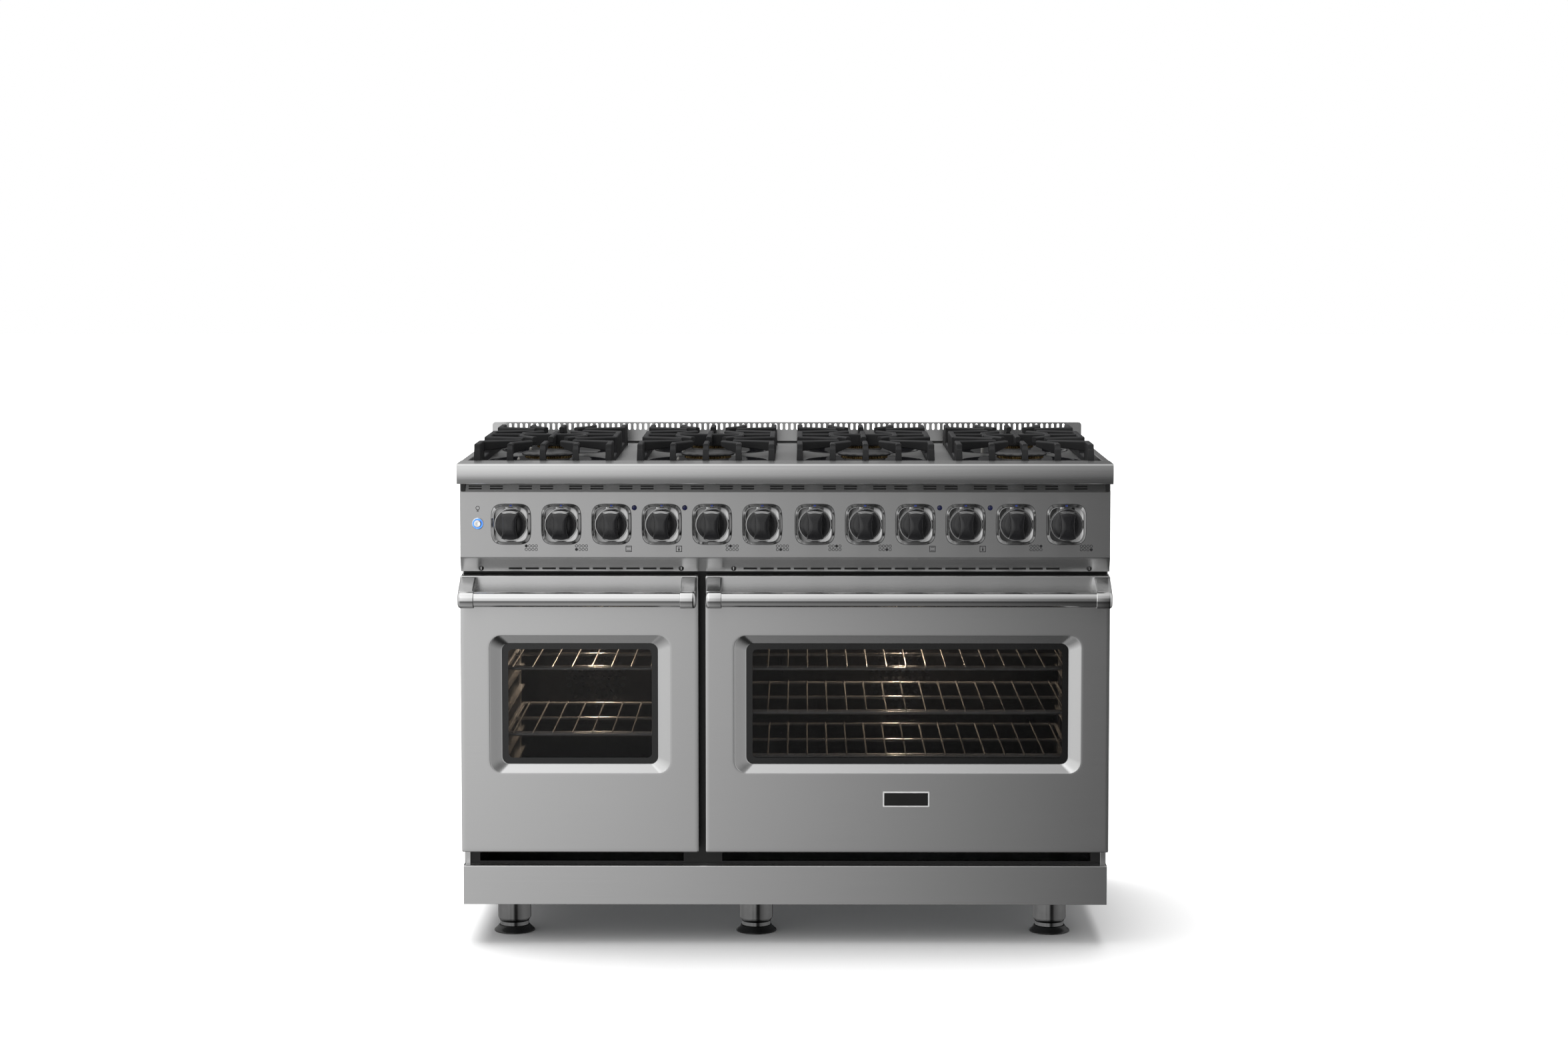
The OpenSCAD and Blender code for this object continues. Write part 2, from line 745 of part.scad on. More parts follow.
// Cast end arms: from the top corner of the door forward and down to a sleeve on the tube
module handle_brackets(i) {
    sleeve_r = 16.5;
    sleeve_w = 30;
    color("silver") for (x = [door_x[i] + 2, door_x[i] + door_w[i] - 2 - sleeve_w]) difference() {
        bore_x = x < oven_x[i] ? x + 3 : x - 1;
        union() {
            translate([0, handle_y, handle_z]) x_rod(sleeve_r, x, x + sleeve_w);
            side_plate(x, x + sleeve_w) polygon([
                [face_y, door_z1 - 1],
                [face_y - 22, door_z1 - 1],
                [handle_y - 6, handle_z + 15],
                [handle_y + 12, handle_z - 8],
                [face_y, door_z1 - 28]
            ]);
        }
        translate([0, handle_y, handle_z]) x_rod(handle_d / 2 + fit, bore_x, bore_x + sleeve_w - 2);
    }
}

// ---- Assembly ----

base_pan();
left_side_panel();
right_side_panel();
rear_panel();
front_frame();
kick_panel();
leg_tubes();
leg_feet();
landing_ledge();
control_panel();
knob_bezels();
indicator_lights();
cooktop_pan();
island_trim();
burner_bases();
burner_rings();
burner_caps();
igniters();
gas_manifold();
gas_valves();
oven_liner(0);  // left_oven_liner
oven_liner(1);  // right_oven_liner
rack_guides();
oven_racks();
fan_baffles();
fan_motors();
oven_lamps();
oven_burners();
door_hinges();
oven_gaskets();
oven_insulation();
fan(0);  // left_fan
fan(1);  // right_fan
light_button();
for (i = [1 : 4]) grate(i - 1);
for (i = [1 : 12]) knob(i - 1);
door_skin(0);  // left_door_skin
door_liner(0);  // left_door_liner
door_glass(0);  // left_door_glass
door_handle(0);  // left_door_handle
handle_brackets(0);  // left_handle_brackets
door_skin(1);  // right_door_skin
door_liner(1);  // right_door_liner
door_glass(1);  // right_door_glass
door_handle(1);  // right_door_handle
handle_brackets(1);  // right_handle_brackets
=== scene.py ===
import math

import bmesh
import bpy
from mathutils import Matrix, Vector


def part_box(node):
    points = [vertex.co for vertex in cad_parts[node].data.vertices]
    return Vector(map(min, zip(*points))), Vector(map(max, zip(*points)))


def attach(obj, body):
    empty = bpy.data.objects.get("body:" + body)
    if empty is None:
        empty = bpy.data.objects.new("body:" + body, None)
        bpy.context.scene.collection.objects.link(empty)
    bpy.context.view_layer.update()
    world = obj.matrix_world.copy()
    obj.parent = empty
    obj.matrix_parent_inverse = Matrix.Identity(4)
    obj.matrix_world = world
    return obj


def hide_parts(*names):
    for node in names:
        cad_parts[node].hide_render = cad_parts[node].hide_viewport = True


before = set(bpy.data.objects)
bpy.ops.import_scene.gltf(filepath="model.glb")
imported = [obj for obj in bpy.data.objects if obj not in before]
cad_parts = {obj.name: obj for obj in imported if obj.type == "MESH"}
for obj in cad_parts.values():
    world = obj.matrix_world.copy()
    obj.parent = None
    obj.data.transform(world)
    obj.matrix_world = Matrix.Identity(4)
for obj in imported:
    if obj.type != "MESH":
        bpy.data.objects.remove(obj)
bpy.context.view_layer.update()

# Lengths below are in millimetres, in the CAD's frame, unless a comment says otherwise.
MM = 0.001
FACE_Y = -290.0
PAN_Z = 903.0
WINDOW_Z = 459.0
BODY = "range_body"


# ---- Mesh helpers ----

def mm_box(name):
    """Lowest and highest corner of a CAD node, in millimetres."""
    lo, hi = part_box(name)
    return lo / MM, hi / MM


def loft(bm, loops, mat=0, first=False, last=False, closed=True):
    """Quads between loops of equal length; first and last say which ends get a cap."""
    rows = [[bm.verts.new(p) for p in loop] for loop in loops]
    count = len(rows[0])
    for a, b in zip(rows, rows[1:]):
        for i in range(count if closed else count - 1):
            j = (i + 1) % count
            face = bm.faces.new((a[i], a[j], b[j], b[i]))
            face.material_index = mat
    for row, wanted in ((rows[0], first), (rows[-1], last)):
        if wanted:
            face = bm.faces.new(row)
            face.material_index = mat
    return rows


def ring(r, along, centre, axis, steps, turn=0.0):
    """Points of a circle about a centre line; along is the place on that line."""
    out = []
    for k in range(steps):
        a = turn + 2 * math.pi * k / steps
        u, v = r * math.cos(a), r * math.sin(a)
        if axis == "X":
            out.append(Vector((along, centre[0] + u, centre[1] + v)))
        elif axis == "Y":
            out.append(Vector((centre[0] + u, along, centre[1] + v)))
        else:
            out.append(Vector((centre[0] + u, centre[1] + v, along)))
    return out


def lathe(bm, profile, centre, axis, steps=48, mat=0):
    """A turned shape from (radius, along) pairs; the ends are capped."""
    loops = [ring(max(r, 0.02), a, centre, axis, steps) for r, a in profile]
    return loft(bm, loops, mat, True, True)


def arc(centre, r, start, end, steps):
    """Points of an arc in 2D, angles in degrees."""
    out = []
    for k in range(steps + 1):
        a = math.radians(start + (end - start) * k / steps)
        out.append((centre[0] + r * math.cos(a), centre[1] + r * math.sin(a)))
    return out


def rounded(cx, cz, w, h, r, steps=8):
    """Outline of a rounded rectangle as (x, z) pairs, starting at the right, going up."""
    hx, hz = w / 2 - r, h / 2 - r
    out = arc((cx + hx, cz + hz), r, 0, 90, steps)
    out += arc((cx - hx, cz + hz), r, 90, 180, steps)
    out += arc((cx - hx, cz - hz), r, 180, 270, steps)
    return out + arc((cx + hx, cz - hz), r, 270, 360, steps)


def at_y(outline, y):
    """An (x, z) outline placed at a depth."""
    return [Vector((x, y, z)) for x, z in outline]


def prism_x(bm, profile, x0, x1, mat=0):
    """A closed (y, z) profile drawn out along X."""
    loops = [[Vector((x, y, z)) for y, z in profile] for x in (x0, x1)]
    return loft(bm, loops, mat, True, True)


def prism_y(bm, profile, y0, y1, mat=0):
    """A closed (x, z) profile drawn out along Y."""
    return loft(bm, [at_y(profile, y0), at_y(profile, y1)], mat, True, True)


def rod(bm, a, b, r, steps=10, mat=0):
    """A round rod from point a to point b."""
    a, b = Vector(a), Vector(b)
    way = (b - a).normalized()
    side = way.orthogonal().normalized()
    up = way.cross(side)
    loops = []
    for p in (a, b):
        loop = []
        for k in range(steps):
            t = 2 * math.pi * k / steps
            loop.append(p + r * (math.cos(t) * side + math.sin(t) * up))
        loops.append(loop)
    return loft(bm, loops, mat, True, True)


def slab(bm, lo, hi, mat=0):
    """A box from its low corner to its high corner."""
    profile = [(lo[0], lo[2]), (hi[0], lo[2]), (hi[0], hi[2]), (lo[0], hi[2])]
    return prism_y(bm, profile, lo[1], hi[1], mat)


def piece(name, bm, mats, body=BODY, stands_for=(), sharp=32, bevel=0.0, segments=2):
    """Turns a bmesh in millimetres into a named object that rides on a body."""
    bmesh.ops.recalc_face_normals(bm, faces=bm.faces[:])
    bmesh.ops.scale(bm, vec=(MM, MM, MM), verts=bm.verts[:])
    mesh = bpy.data.meshes.new(name)
    bm.to_mesh(mesh)
    bm.free()
    for mat in mats:
        mesh.materials.append(mat)
    mesh.shade_smooth()
    mesh.set_sharp_from_angle(angle=math.radians(sharp))
    obj = bpy.data.objects.new(name, mesh)
    bpy.context.scene.collection.objects.link(obj)
    if bevel:
        mod = obj.modifiers.new("edge", "BEVEL")
        mod.width = bevel * MM
        mod.segments = segments
        mod.limit_method = "ANGLE"
        mod.angle_limit = math.radians(40)
    flat = obj.modifiers.new("normals", "WEIGHTED_NORMAL")
    flat.keep_sharp = True
    flat.weight = 90
    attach(obj, body)
    if stands_for:
        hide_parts(*stands_for)
    return obj


# ---- Material helpers ----

def add(tree, kind, **inputs):
    """A node with the given values on its inputs; underscores stand for spaces."""
    made = tree.nodes.new(kind)
    for key, value in inputs.items():
        made.inputs[key.replace("_", " ")].default_value = value
    return made


def blank(name):
    """A new material with an empty principled shader."""
    mat = bpy.data.materials.new(name)
    mat.use_nodes = True
    tree = mat.node_tree
    tree.nodes.clear()
    out = tree.nodes.new("ShaderNodeOutputMaterial")
    shader = tree.nodes.new("ShaderNodeBsdfPrincipled")
    tree.links.new(shader.outputs["BSDF"], out.inputs["Surface"])
    return mat, tree, shader


def coords(tree, scale):
    """Object coordinates in metres, times a scale for each axis."""
    source = tree.nodes.new("ShaderNodeTexCoord")
    mapping = add(tree, "ShaderNodeMapping", Scale=scale)
    tree.links.new(source.outputs["Object"], mapping.inputs["Vector"])
    return mapping.outputs["Vector"]


def noise(tree, vector, scale=1.0, detail=4.0, rough=0.5):
    """The value of a noise texture."""
    made = add(tree, "ShaderNodeTexNoise", Scale=scale, Detail=detail, Roughness=rough)
    tree.links.new(vector, made.inputs["Vector"])
    return made.outputs[0]


def between(tree, value, low, high, start=0.3, end=0.7):
    """A value remapped to the range from low to high."""
    made = add(
        tree, "ShaderNodeMapRange", From_Min=start, From_Max=end, To_Min=low, To_Max=high
    )
    tree.links.new(value, made.inputs["Value"])
    return made.outputs["Result"]


def tint(tree, value, dark, light, start=0.3, end=0.7):
    """A colour that goes from dark to light with a value."""
    made = tree.nodes.new("ShaderNodeValToRGB")
    made.color_ramp.elements[0].position = start
    made.color_ramp.elements[1].position = end
    made.color_ramp.elements[0].color = (*dark, 1)
    made.color_ramp.elements[1].color = (*light, 1)
    tree.links.new(value, made.inputs["Fac"])
    return made.outputs["Color"]


def bump(tree, shader, height, strength, distance):
    """Surface relief from a value; distance is in metres."""
    made = add(tree, "ShaderNodeBump", Strength=strength, Distance=distance)
    tree.links.new(height, made.inputs["Height"])
    tree.links.new(made.outputs["Normal"], shader.inputs["Normal"])


def brushed(name, grain="X", tone=0.62, rough=(0.2, 0.3), aniso=0.55, spread=0.02, coarse=900.0):
    """Brushed metal: fine streaks along the grain, faint cloudy variation, stretched gloss."""
    mat, tree, shader = blank(name)
    scale = [coarse, coarse, coarse]
    scale["XYZ".index(grain)] = 4.0
    streak = noise(tree, coords(tree, scale), 1.0, 3.0, 0.6)
    cloud = noise(tree, coords(tree, (3.0, 3.0, 3.0)), 1.0, 2.0, 0.5)
    blend = tree.nodes.new("ShaderNodeMix")
    blend.inputs["Factor"].default_value = 0.3
    tree.links.new(streak, blend.inputs["A"])
    tree.links.new(cloud, blend.inputs["B"])
    value = blend.outputs["Result"]
    dark = (tone - spread, tone - spread, tone - spread)
    light = (tone + spread, tone + spread, tone + spread * 0.9)
    tree.links.new(tint(tree, value, dark, light), shader.inputs["Base Color"])
    tree.links.new(between(tree, value, *rough), shader.inputs["Roughness"])
    shader.inputs["Metallic"].default_value = 1.0
    shader.inputs["Anisotropic"].default_value = aniso
    shader.inputs["Anisotropic Rotation"].default_value = 0.25
    way = add(tree, "ShaderNodeCombineXYZ")
    way.inputs[grain].default_value = 1.0
    tree.links.new(way.outputs["Vector"], shader.inputs["Tangent"])
    bump(tree, shader, streak, 0.02, 0.00005)
    return mat


def polished(name, tone, rough=(0.05, 0.12), metallic=1.0, scale=60.0, tints=(1, 1, 1)):
    """Polished or plated metal with faint smudges."""
    mat, tree, shader = blank(name)
    value = noise(tree, coords(tree, (1, 1, 1)), scale, 4.0, 0.55)
    dark = tuple(tone * 0.92 * t for t in tints)
    light = tuple(min(tone * 1.05, 0.98) * t for t in tints)
    tree.links.new(tint(tree, value, dark, light), shader.inputs["Base Color"])
    tree.links.new(between(tree, value, *rough), shader.inputs["Roughness"])
    shader.inputs["Metallic"].default_value = metallic
    return mat


def rough_coat(name, dark, light, rough, size, relief, metallic=0.0, specular=0.5, coat=0.0):
    """Cast, enamelled, moulded or painted surface with grain of a given size in metres."""
    mat, tree, shader = blank(name)
    dark, light = [(v, v, v) if isinstance(v, float) else v for v in (dark, light)]
    place = coords(tree, (1, 1, 1))
    fine = noise(tree, place, 1.0 / size, 5.0, 0.6)
    cloud = noise(tree, place, 12.0, 3.0, 0.5)
    tree.links.new(tint(tree, cloud, dark, light), shader.inputs["Base Color"])
    tree.links.new(between(tree, fine, *rough), shader.inputs["Roughness"])
    shader.inputs["Metallic"].default_value = metallic
    shader.inputs["Specular IOR Level"].default_value = specular
    shader.inputs["Coat Weight"].default_value = coat
    bump(tree, shader, fine, 0.35, relief)
    return mat


def speckled(name, base, fleck, rough=(0.12, 0.22)):
    """Porcelain enamel with small flecks."""
    mat, tree, shader = blank(name)
    place = coords(tree, (1, 1, 1))
    cells = add(tree, "ShaderNodeTexVoronoi", Scale=260.0)
    tree.links.new(place, cells.inputs["Vector"])
    colour = tint(tree, cells.outputs["Distance"], fleck, base, 0.12, 0.2)
    tree.links.new(colour, shader.inputs["Base Color"])
    tree.links.new(between(tree, noise(tree, place, 30.0), *rough), shader.inputs["Roughness"])
    return mat


def tinted_glass(name, tone, alpha, rough=(0.01, 0.03)):
    """Dark glass as a tinted, glossy film."""
    mat, tree, shader = blank(name)
    value = noise(tree, coords(tree, (1, 1, 1)), 6.0, 2.0, 0.5)
    dark = (tone, tone, tone)
    light = (tone * 1.3, tone * 1.3, tone * 1.35)
    tree.links.new(tint(tree, value, dark, light), shader.inputs["Base Color"])
    tree.links.new(between(tree, value, *rough), shader.inputs["Roughness"])
    shader.inputs["Alpha"].default_value = alpha
    shader.inputs["IOR"].default_value = 1.32
    return mat


def glowing(name, colour, strength, tone=0.5):
    """A lit lens: a glossy body with a steady glow, uneven across its face."""
    mat, tree, shader = blank(name)
    value = noise(tree, coords(tree, (1, 1, 1)), 150.0, 2.0, 0.5)
    dark = tuple(c * tone * 0.8 for c in colour)
    light = tuple(c * tone for c in colour)
    made = tint(tree, value, dark, light)
    tree.links.new(made, shader.inputs["Base Color"])
    tree.links.new(tint(tree, value, dark, colour, 0.2, 0.6), shader.inputs["Emission Color"])
    tree.links.new(between(tree, value, 0.1, 0.2), shader.inputs["Roughness"])
    shader.inputs["Emission Strength"].default_value = strength
    return mat


def fibre(name, dark, light):
    """Matted mineral fibre."""
    mat, tree, shader = blank(name)
    value = noise(tree, coords(tree, (60, 60, 400)), 1.0, 6.0, 0.7)
    tree.links.new(tint(tree, value, dark, light), shader.inputs["Base Color"])
    tree.links.new(between(tree, value, 0.85, 1.0), shader.inputs["Roughness"])
    bump(tree, shader, value, 0.6, 0.002)
    return mat


steel = brushed("steel_brushed", "X", 0.66, (0.24, 0.27), 0.78)
# Painted shade: the doors' brushed steel in a darker tone, so the control panel looks shaded under the
# ledge.
panel_steel_shaded = brushed("steel_panel_painted_shade", "X", 0.54, (0.24, 0.27), 0.78)
steel_upright = brushed("steel_upright", "Y", 0.5, (0.24, 0.32), 0.6)
steel_dull = brushed("steel_dull", "X", 0.5, (0.3, 0.4), 0.4)
steel_round = brushed("steel_round", "X", 0.72, (0.1, 0.16), 0.7, 0.03, 1400.0)
galvanised = rough_coat(
    "zinc_sheet", (0.42, 0.43, 0.44), (0.56, 0.57, 0.58), (0.35, 0.5), 0.02, 0.0001, 1.0
)
chrome = polished("chrome_bright", 0.86, (0.04, 0.09))
bezel_chrome = polished("chrome_bezel", 0.5, (0.05, 0.1))
nickel = polished("nickel_soft", 0.7, (0.14, 0.22))
plate_silver = polished("plate_silver", 0.85, (0.3, 0.4), 0.5)
leg_steel = polished("leg_steel", 0.2, (0.12, 0.2))
black_moulding = rough_coat(
    "black_moulding", (0.008, 0.008, 0.009), (0.014, 0.014, 0.015), (0.09, 0.13), 0.0012, 0.00001,
    specular=0.45, coat=0.2
)
cast_iron = rough_coat(
    "iron_cast", (0.016, 0.016, 0.017), (0.028, 0.028, 0.029), (0.48, 0.68), 0.0016, 0.0003,
    specular=0.3
)
black_enamel = speckled("enamel_black", (0.006, 0.006, 0.007), (0.02, 0.02, 0.022), (0.08, 0.14))
oven_enamel = speckled("enamel_oven", (0.006, 0.006, 0.008), (0.03, 0.03, 0.034), (0.27, 0.31))
frame_black = rough_coat("frame_black_finish", 0.006, 0.012, (0.3, 0.45), 0.002, 0.00003)
cap_enamel = rough_coat(
    "enamel_cap", (0.02, 0.02, 0.021), (0.035, 0.035, 0.036), (0.25, 0.36), 0.002, 0.00004,
    specular=0.6
)
cast_aluminium = rough_coat("aluminium_cast", 0.42, 0.55, (0.4, 0.55), 0.0015, 0.0001, 1.0)
brass = polished("brass_turned", 0.32, (0.22, 0.34), 1.0, 90.0, (1.0, 0.72, 0.34))
ceramic = rough_coat(
    "ceramic_white", (0.36, 0.35, 0.33), (0.46, 0.45, 0.42), (0.25, 0.4), 0.001, 0.00002
)
foot_black = rough_coat("foot_black", 0.006, 0.012, (0.22, 0.3), 0.001, 0.00005)
pipe_black = rough_coat(
    "pipe_black", (0.03, 0.03, 0.032), (0.06, 0.058, 0.055), (0.5, 0.7), 0.003, 0.0002, 0.4
)
rack_wire = polished("rack_wire", 0.72, (0.14, 0.24), 0.66, 120.0)
motor_grey = rough_coat("motor_grey", (0.2, 0.21, 0.22), (0.27, 0.28, 0.29), (0.45, 0.6), 0.002, 0.0001)
gasket = fibre("gasket_woven", (0.02, 0.02, 0.02), (0.06, 0.06, 0.06))
blanket = fibre("mineral_wool", (0.5, 0.4, 0.2), (0.75, 0.65, 0.4))
burner_steel = rough_coat(
    "burner_steel", (0.2, 0.18, 0.16), (0.36, 0.34, 0.32), (0.4, 0.6), 0.004, 0.0002, 1.0
)
fan_steel = polished("fan_steel", 0.22, (0.25, 0.4), 1.0, 80.0)
baffle_steel = rough_coat(
    "baffle_enamel", (0.006, 0.006, 0.008), (0.012, 0.012, 0.014), (0.25, 0.4), 0.002, 0.00005
)
pane = tinted_glass("glass_outer", 0.003, 0.4)
inner_pane = tinted_glass("glass_inner", 0.006, 0.12)
frit = rough_coat("glass_border", 0.003, 0.006, (0.07, 0.1), 0.02, 0.000002)
lamp_blue = polished("lamp_blue", 0.1, (0.05, 0.1), 0.0, 200.0, (0.08, 0.1, 0.5))
print_grey = rough_coat(
    "print_grey", (0.012, 0.012, 0.014), (0.02, 0.02, 0.022), (0.4, 0.5), 0.001, 0.000005
)
mark_blue = rough_coat(
    "mark_blue", (0.01, 0.03, 0.25), (0.015, 0.05, 0.35), (0.25, 0.35), 0.001, 0.000005
)
glow_blue = glowing("glow_blue", (0.1, 0.32, 1.0), 1.3)
glow_warm = glowing("glow_warm", (1.0, 0.72, 0.4), 9.0)


# ---- Landing ledge and control panel ----

def ledge_profile(lo, hi):
    """Side outline of the ledge: rolled top edge, gently bowed face, folded underside."""
    bow, r_top, r_low = 1.8, 5.0, 4.0
    front, top, low = lo.y, hi.z, lo.z
    out = [(hi.y, top)]
    out += arc((front + bow + r_top, top - r_top), r_top, 90, 180, 8)
    for k in range(1, 12):
        t = k / 12
        z = top - r_top - t * (top - r_top - low - r_low)
        out.append((front + bow * (2 * t - 1) ** 2, z))
    out += arc((front + bow + r_low, low + r_low), r_low, 180, 270, 6)
    return out + [(FACE_Y + 2, low), (FACE_Y + 2, top - 2), (hi.y, top - 2)]


def make_ledge():
    lo, hi = mm_box("landing_ledge")
    bm = bmesh.new()
    prism_x(bm, ledge_profile(lo, hi), lo.x, hi.x)
    piece("ledge_front", bm, [steel], BODY, ("landing_ledge",), 50, 0.8)


def screw_head(bm, x, z):
    """A domed screw head on the sloping lip of the panel."""
    y = FACE_Y + (734 - z) * 12 / 26
    lathe(bm, [(5, y + 1), (5, y - 0.6), (3.6, y - 1.9), (1.5, y - 2.4)], (x, z), "Y", 20)
    slab(bm, (x - 0.6, y - 2.6, z - 2.6), (x + 0.6, y - 2.2, z + 2.6), 1)


VENT_Z = 858.0
SLOPE = 0.42


def strip_bar(bm, x0, x1, z0, z1):
    """A bit of the sloping vent strip between two heights."""
    if x1 - x0 < 0.05:
        return
    y0, y1 = FACE_Y + SLOPE * (z0 - VENT_Z), FACE_Y + SLOPE * (z1 - VENT_Z)
    profile = [(y0, z0), (y1, z1), (y1 + 1.5, z1), (y0 + 1.5, z0)]
    prism_x(bm, profile, x0, x1)


def vent_row(bm, z0, z1, slots, end):
    """A row of the strip with its slots left open."""
    x = -end
    for a, b in slots:
        strip_bar(bm, x, a, z0, z1)
        x = b
    strip_bar(bm, x, end, z0, z1)


def lip_profile():
    """Front sheet of the panel: flat face, rounded bend, and a lip that folds inwards."""
    t = 1.6
    out = [(FACE_Y, VENT_Z), (FACE_Y, 737)]
    out += [(FACE_Y + 0.25, 735.2), (FACE_Y + 0.9, 733.6), (FACE_Y + 1.8, 731.2)]
    out += [(FACE_Y + 12, 708.6), (FACE_Y + 13.4, 708.2), (FACE_Y + 13.4, 709.6)]
    return out + [(FACE_Y + 1.8 + t, 731.8), (FACE_Y + t, 736), (FACE_Y + t, VENT_Z)]


def make_panel():
    lo, hi = mm_box("control_panel")
    bm = bmesh.new()
    prism_x(bm, lip_profile(), lo.x, hi.x)
    starts = [-604.7 + 27, -604.7 + 66.5]
    for i in range(1, 13):
        klo, khi = mm_box(f"knob_{i}")
        x = (klo.x + khi.x) / 2
        starts += [x + 27, x + 66.5]
    slots = [(x - 12, x + 12) for x in starts if x + 12 < 580]
    rows = (863.0, 865.5, 867.5, 870.0)
    vent_row(bm, VENT_Z, rows[0], [], hi.x)
    vent_row(bm, rows[0], rows[1], slots, hi.x)
    vent_row(bm, rows[1], rows[2], [], hi.x)
    vent_row(bm, rows[2], rows[3], slots, hi.x)
    vent_row(bm, rows[3], 884.0, [], hi.x)
    # The panel sheet takes the darker steel with painted shade.
    piece("panel_sheet", bm, [panel_steel_shaded], BODY, ("control_panel",), 35)
    bm = bmesh.new()
    slab(bm, (-600, FACE_Y + 9, 860), (600, FACE_Y + 10, 882))
    slab(bm, (-600, FACE_Y + 15, 709), (600, FACE_Y + 16, 726))
    # Painted shade marks for the lip's vent slots.
    lip_slot_shade(bm)
    slab(bm, (-588, 361.4, PAN_Z + 0.3), (588, 362.2, PAN_Z + 4.4))
    piece("vent_backing_and_slot_shade", bm, [frame_black], BODY)


def lip_slot_shade(bm):
    """Painted shade: dark marks on the lip where its vent slots are, standing in for the shade inside the
    openings.
    """
    for x0, count in ((-504, 10), (-65, 19)):
        for i in range(count):
            x = x0 + i * 31.4
            profile = [
                (FACE_Y + 8.3, 715.6), (FACE_Y + 9.8, 712.2),
                (FACE_Y + 11, 712.8), (FACE_Y + 9.5, 716.2),
            ]
            prism_x(bm, profile, x - 12.5, x + 12.5)


def make_panel_trims():
    bm = bmesh.new()
    for x in (-568, -194, -96, 568):
        screw_head(bm, x, 714.5)
    piece("lip_screws", bm, [frame_black, nickel], BODY)
    bm = bmesh.new()
    slab(bm, (-604.5, FACE_Y - 1.0, 860), (-596, FACE_Y + 8, 875))
    slab(bm, (596, FACE_Y - 1.0, 860), (604.5, FACE_Y + 8, 875))
    piece("strip_end_caps", bm, [frame_black], BODY, bevel=0.6)


# ---- Knobs and bezels ----

def squircle(cx, cz, a, b, power=4.2, steps=64):
    """A square outline with soft corners and slightly bowed sides."""
    out = []
    for k in range(steps):
        t = 2 * math.pi * k / steps
        c, s = math.cos(t), math.sin(t)
        grow = (abs(c) ** power + abs(s) ** power) ** (-1 / power)
        out.append((cx + a * grow * c, cz + b * grow * s))
    return out


def bezel(bm, cx, cz):
    """Chrome surround: sloping band, flat inner face and a round seat for the knob."""
    stages = [
        (37.0, 38.0, 290.0), (37.0, 38.0, 291.2), (36.5, 37.5, 291.9), (34.6, 35.6, 293.6),
        (32.9, 33.9, 295.7), (32.3, 33.3, 296.6), (31.9, 32.9, 296.7), (31.4, 32.4, 296.2),
    ]
    loops = [at_y(squircle(cx, cz, a, b), -y) for a, b, y in stages]
    for r, y in ((31.2, 296.1), (30.9, 295.9), (30.7, 294.8), (12.0, 294.8)):
        loops.append(ring(r, -y, (cx, cz), "Y", 64))
    loft(bm, loops, 0, False, True)


def bezel_shadow_ring(bm, cx, cz):
    """Painted shadow: a dark ring where the surround meets the panel."""
    outer = squircle(cx, cz, 37.6, 38.6)
    inner = squircle(cx, cz, 36.6, 37.6)
    loft(bm, [at_y(outer, FACE_Y + 0.4), at_y(outer, FACE_Y - 0.35), at_y(inner, FACE_Y - 0.35)])


def make_bezels():
    bm = bmesh.new()
    shadow_rings = bmesh.new()
    marks = bmesh.new()
    for i in range(1, 13):
        lo, hi = mm_box(f"knob_{i}")
        cx, cz = (lo.x + hi.x) / 2, (lo.z + hi.z) / 2
        bezel(bm, cx, cz)
        bezel_shadow_ring(shadow_rings, cx, cz)
        slab(marks, (cx - 2.2, -295.4, cz + 33.6), (cx + 2.2, -294.1, cz + 36.6))
    piece("bezels_chrome", bm, [bezel_chrome], BODY, ("knob_bezels",), 50)
    # Painted shadow rings round the chrome surrounds.
    piece("bezel_shadow_rings", shadow_rings, [frame_black], BODY, sharp=50)
    piece("bezel_marks", marks, [mark_blue], BODY, bevel=0.3)


def ridge_outline(cx, cz, grow):
    """Outline of a knob's grip: waisted sides and arched ends."""
    out = []
    half, waist, flare = 26.5, 12.6, 3.2
    for k in range(13):
        t = -1 + 2 * k / 12
        out.append((waist + flare * t * t, half * 0.93 * t))
    for k in range(1, 12):
        t = 1 - 2 * k / 12
        out.append(((waist + flare) * t, half * (1 - 0.07 * t * t)))
    for k in range(13):
        t = 1 - 2 * k / 12
        out.append((-waist - flare * t * t, half * 0.93 * t))
    for k in range(1, 12):
        t = -1 + 2 * k / 12
        out.append(((waist + flare) * t, -half * (1 - 0.07 * t * t)))
    return [(cx + x * grow, cz + z * grow) for x, z in out]


def ridge_loop(cx, cz, grow, y, crown):
    """The outline at a depth, drawn back towards its ends by the crown."""
    out = []
    for x, z in ridge_outline(cx, cz, grow):
        out.append(Vector((x, y + crown * ((z - cz) / 27) ** 2, z)))
    return out


def ridge_arc(bm, cx, cz, low, thick, front, mat):
    """A plated arch along the top end of the grip."""
    loops = []
    for k in range(15):
        t = -1 + 2 * k / 14
        x, z = cx + 14.2 * t, cz + low - 2.6 * t * t
        back = front + 17
        loops.append([
            Vector((x, back, z)), Vector((x, front, z)),
            Vector((x, front, z + thick)), Vector((x, back, z + thick)),
        ])
    loft(bm, loops, mat, True, True)


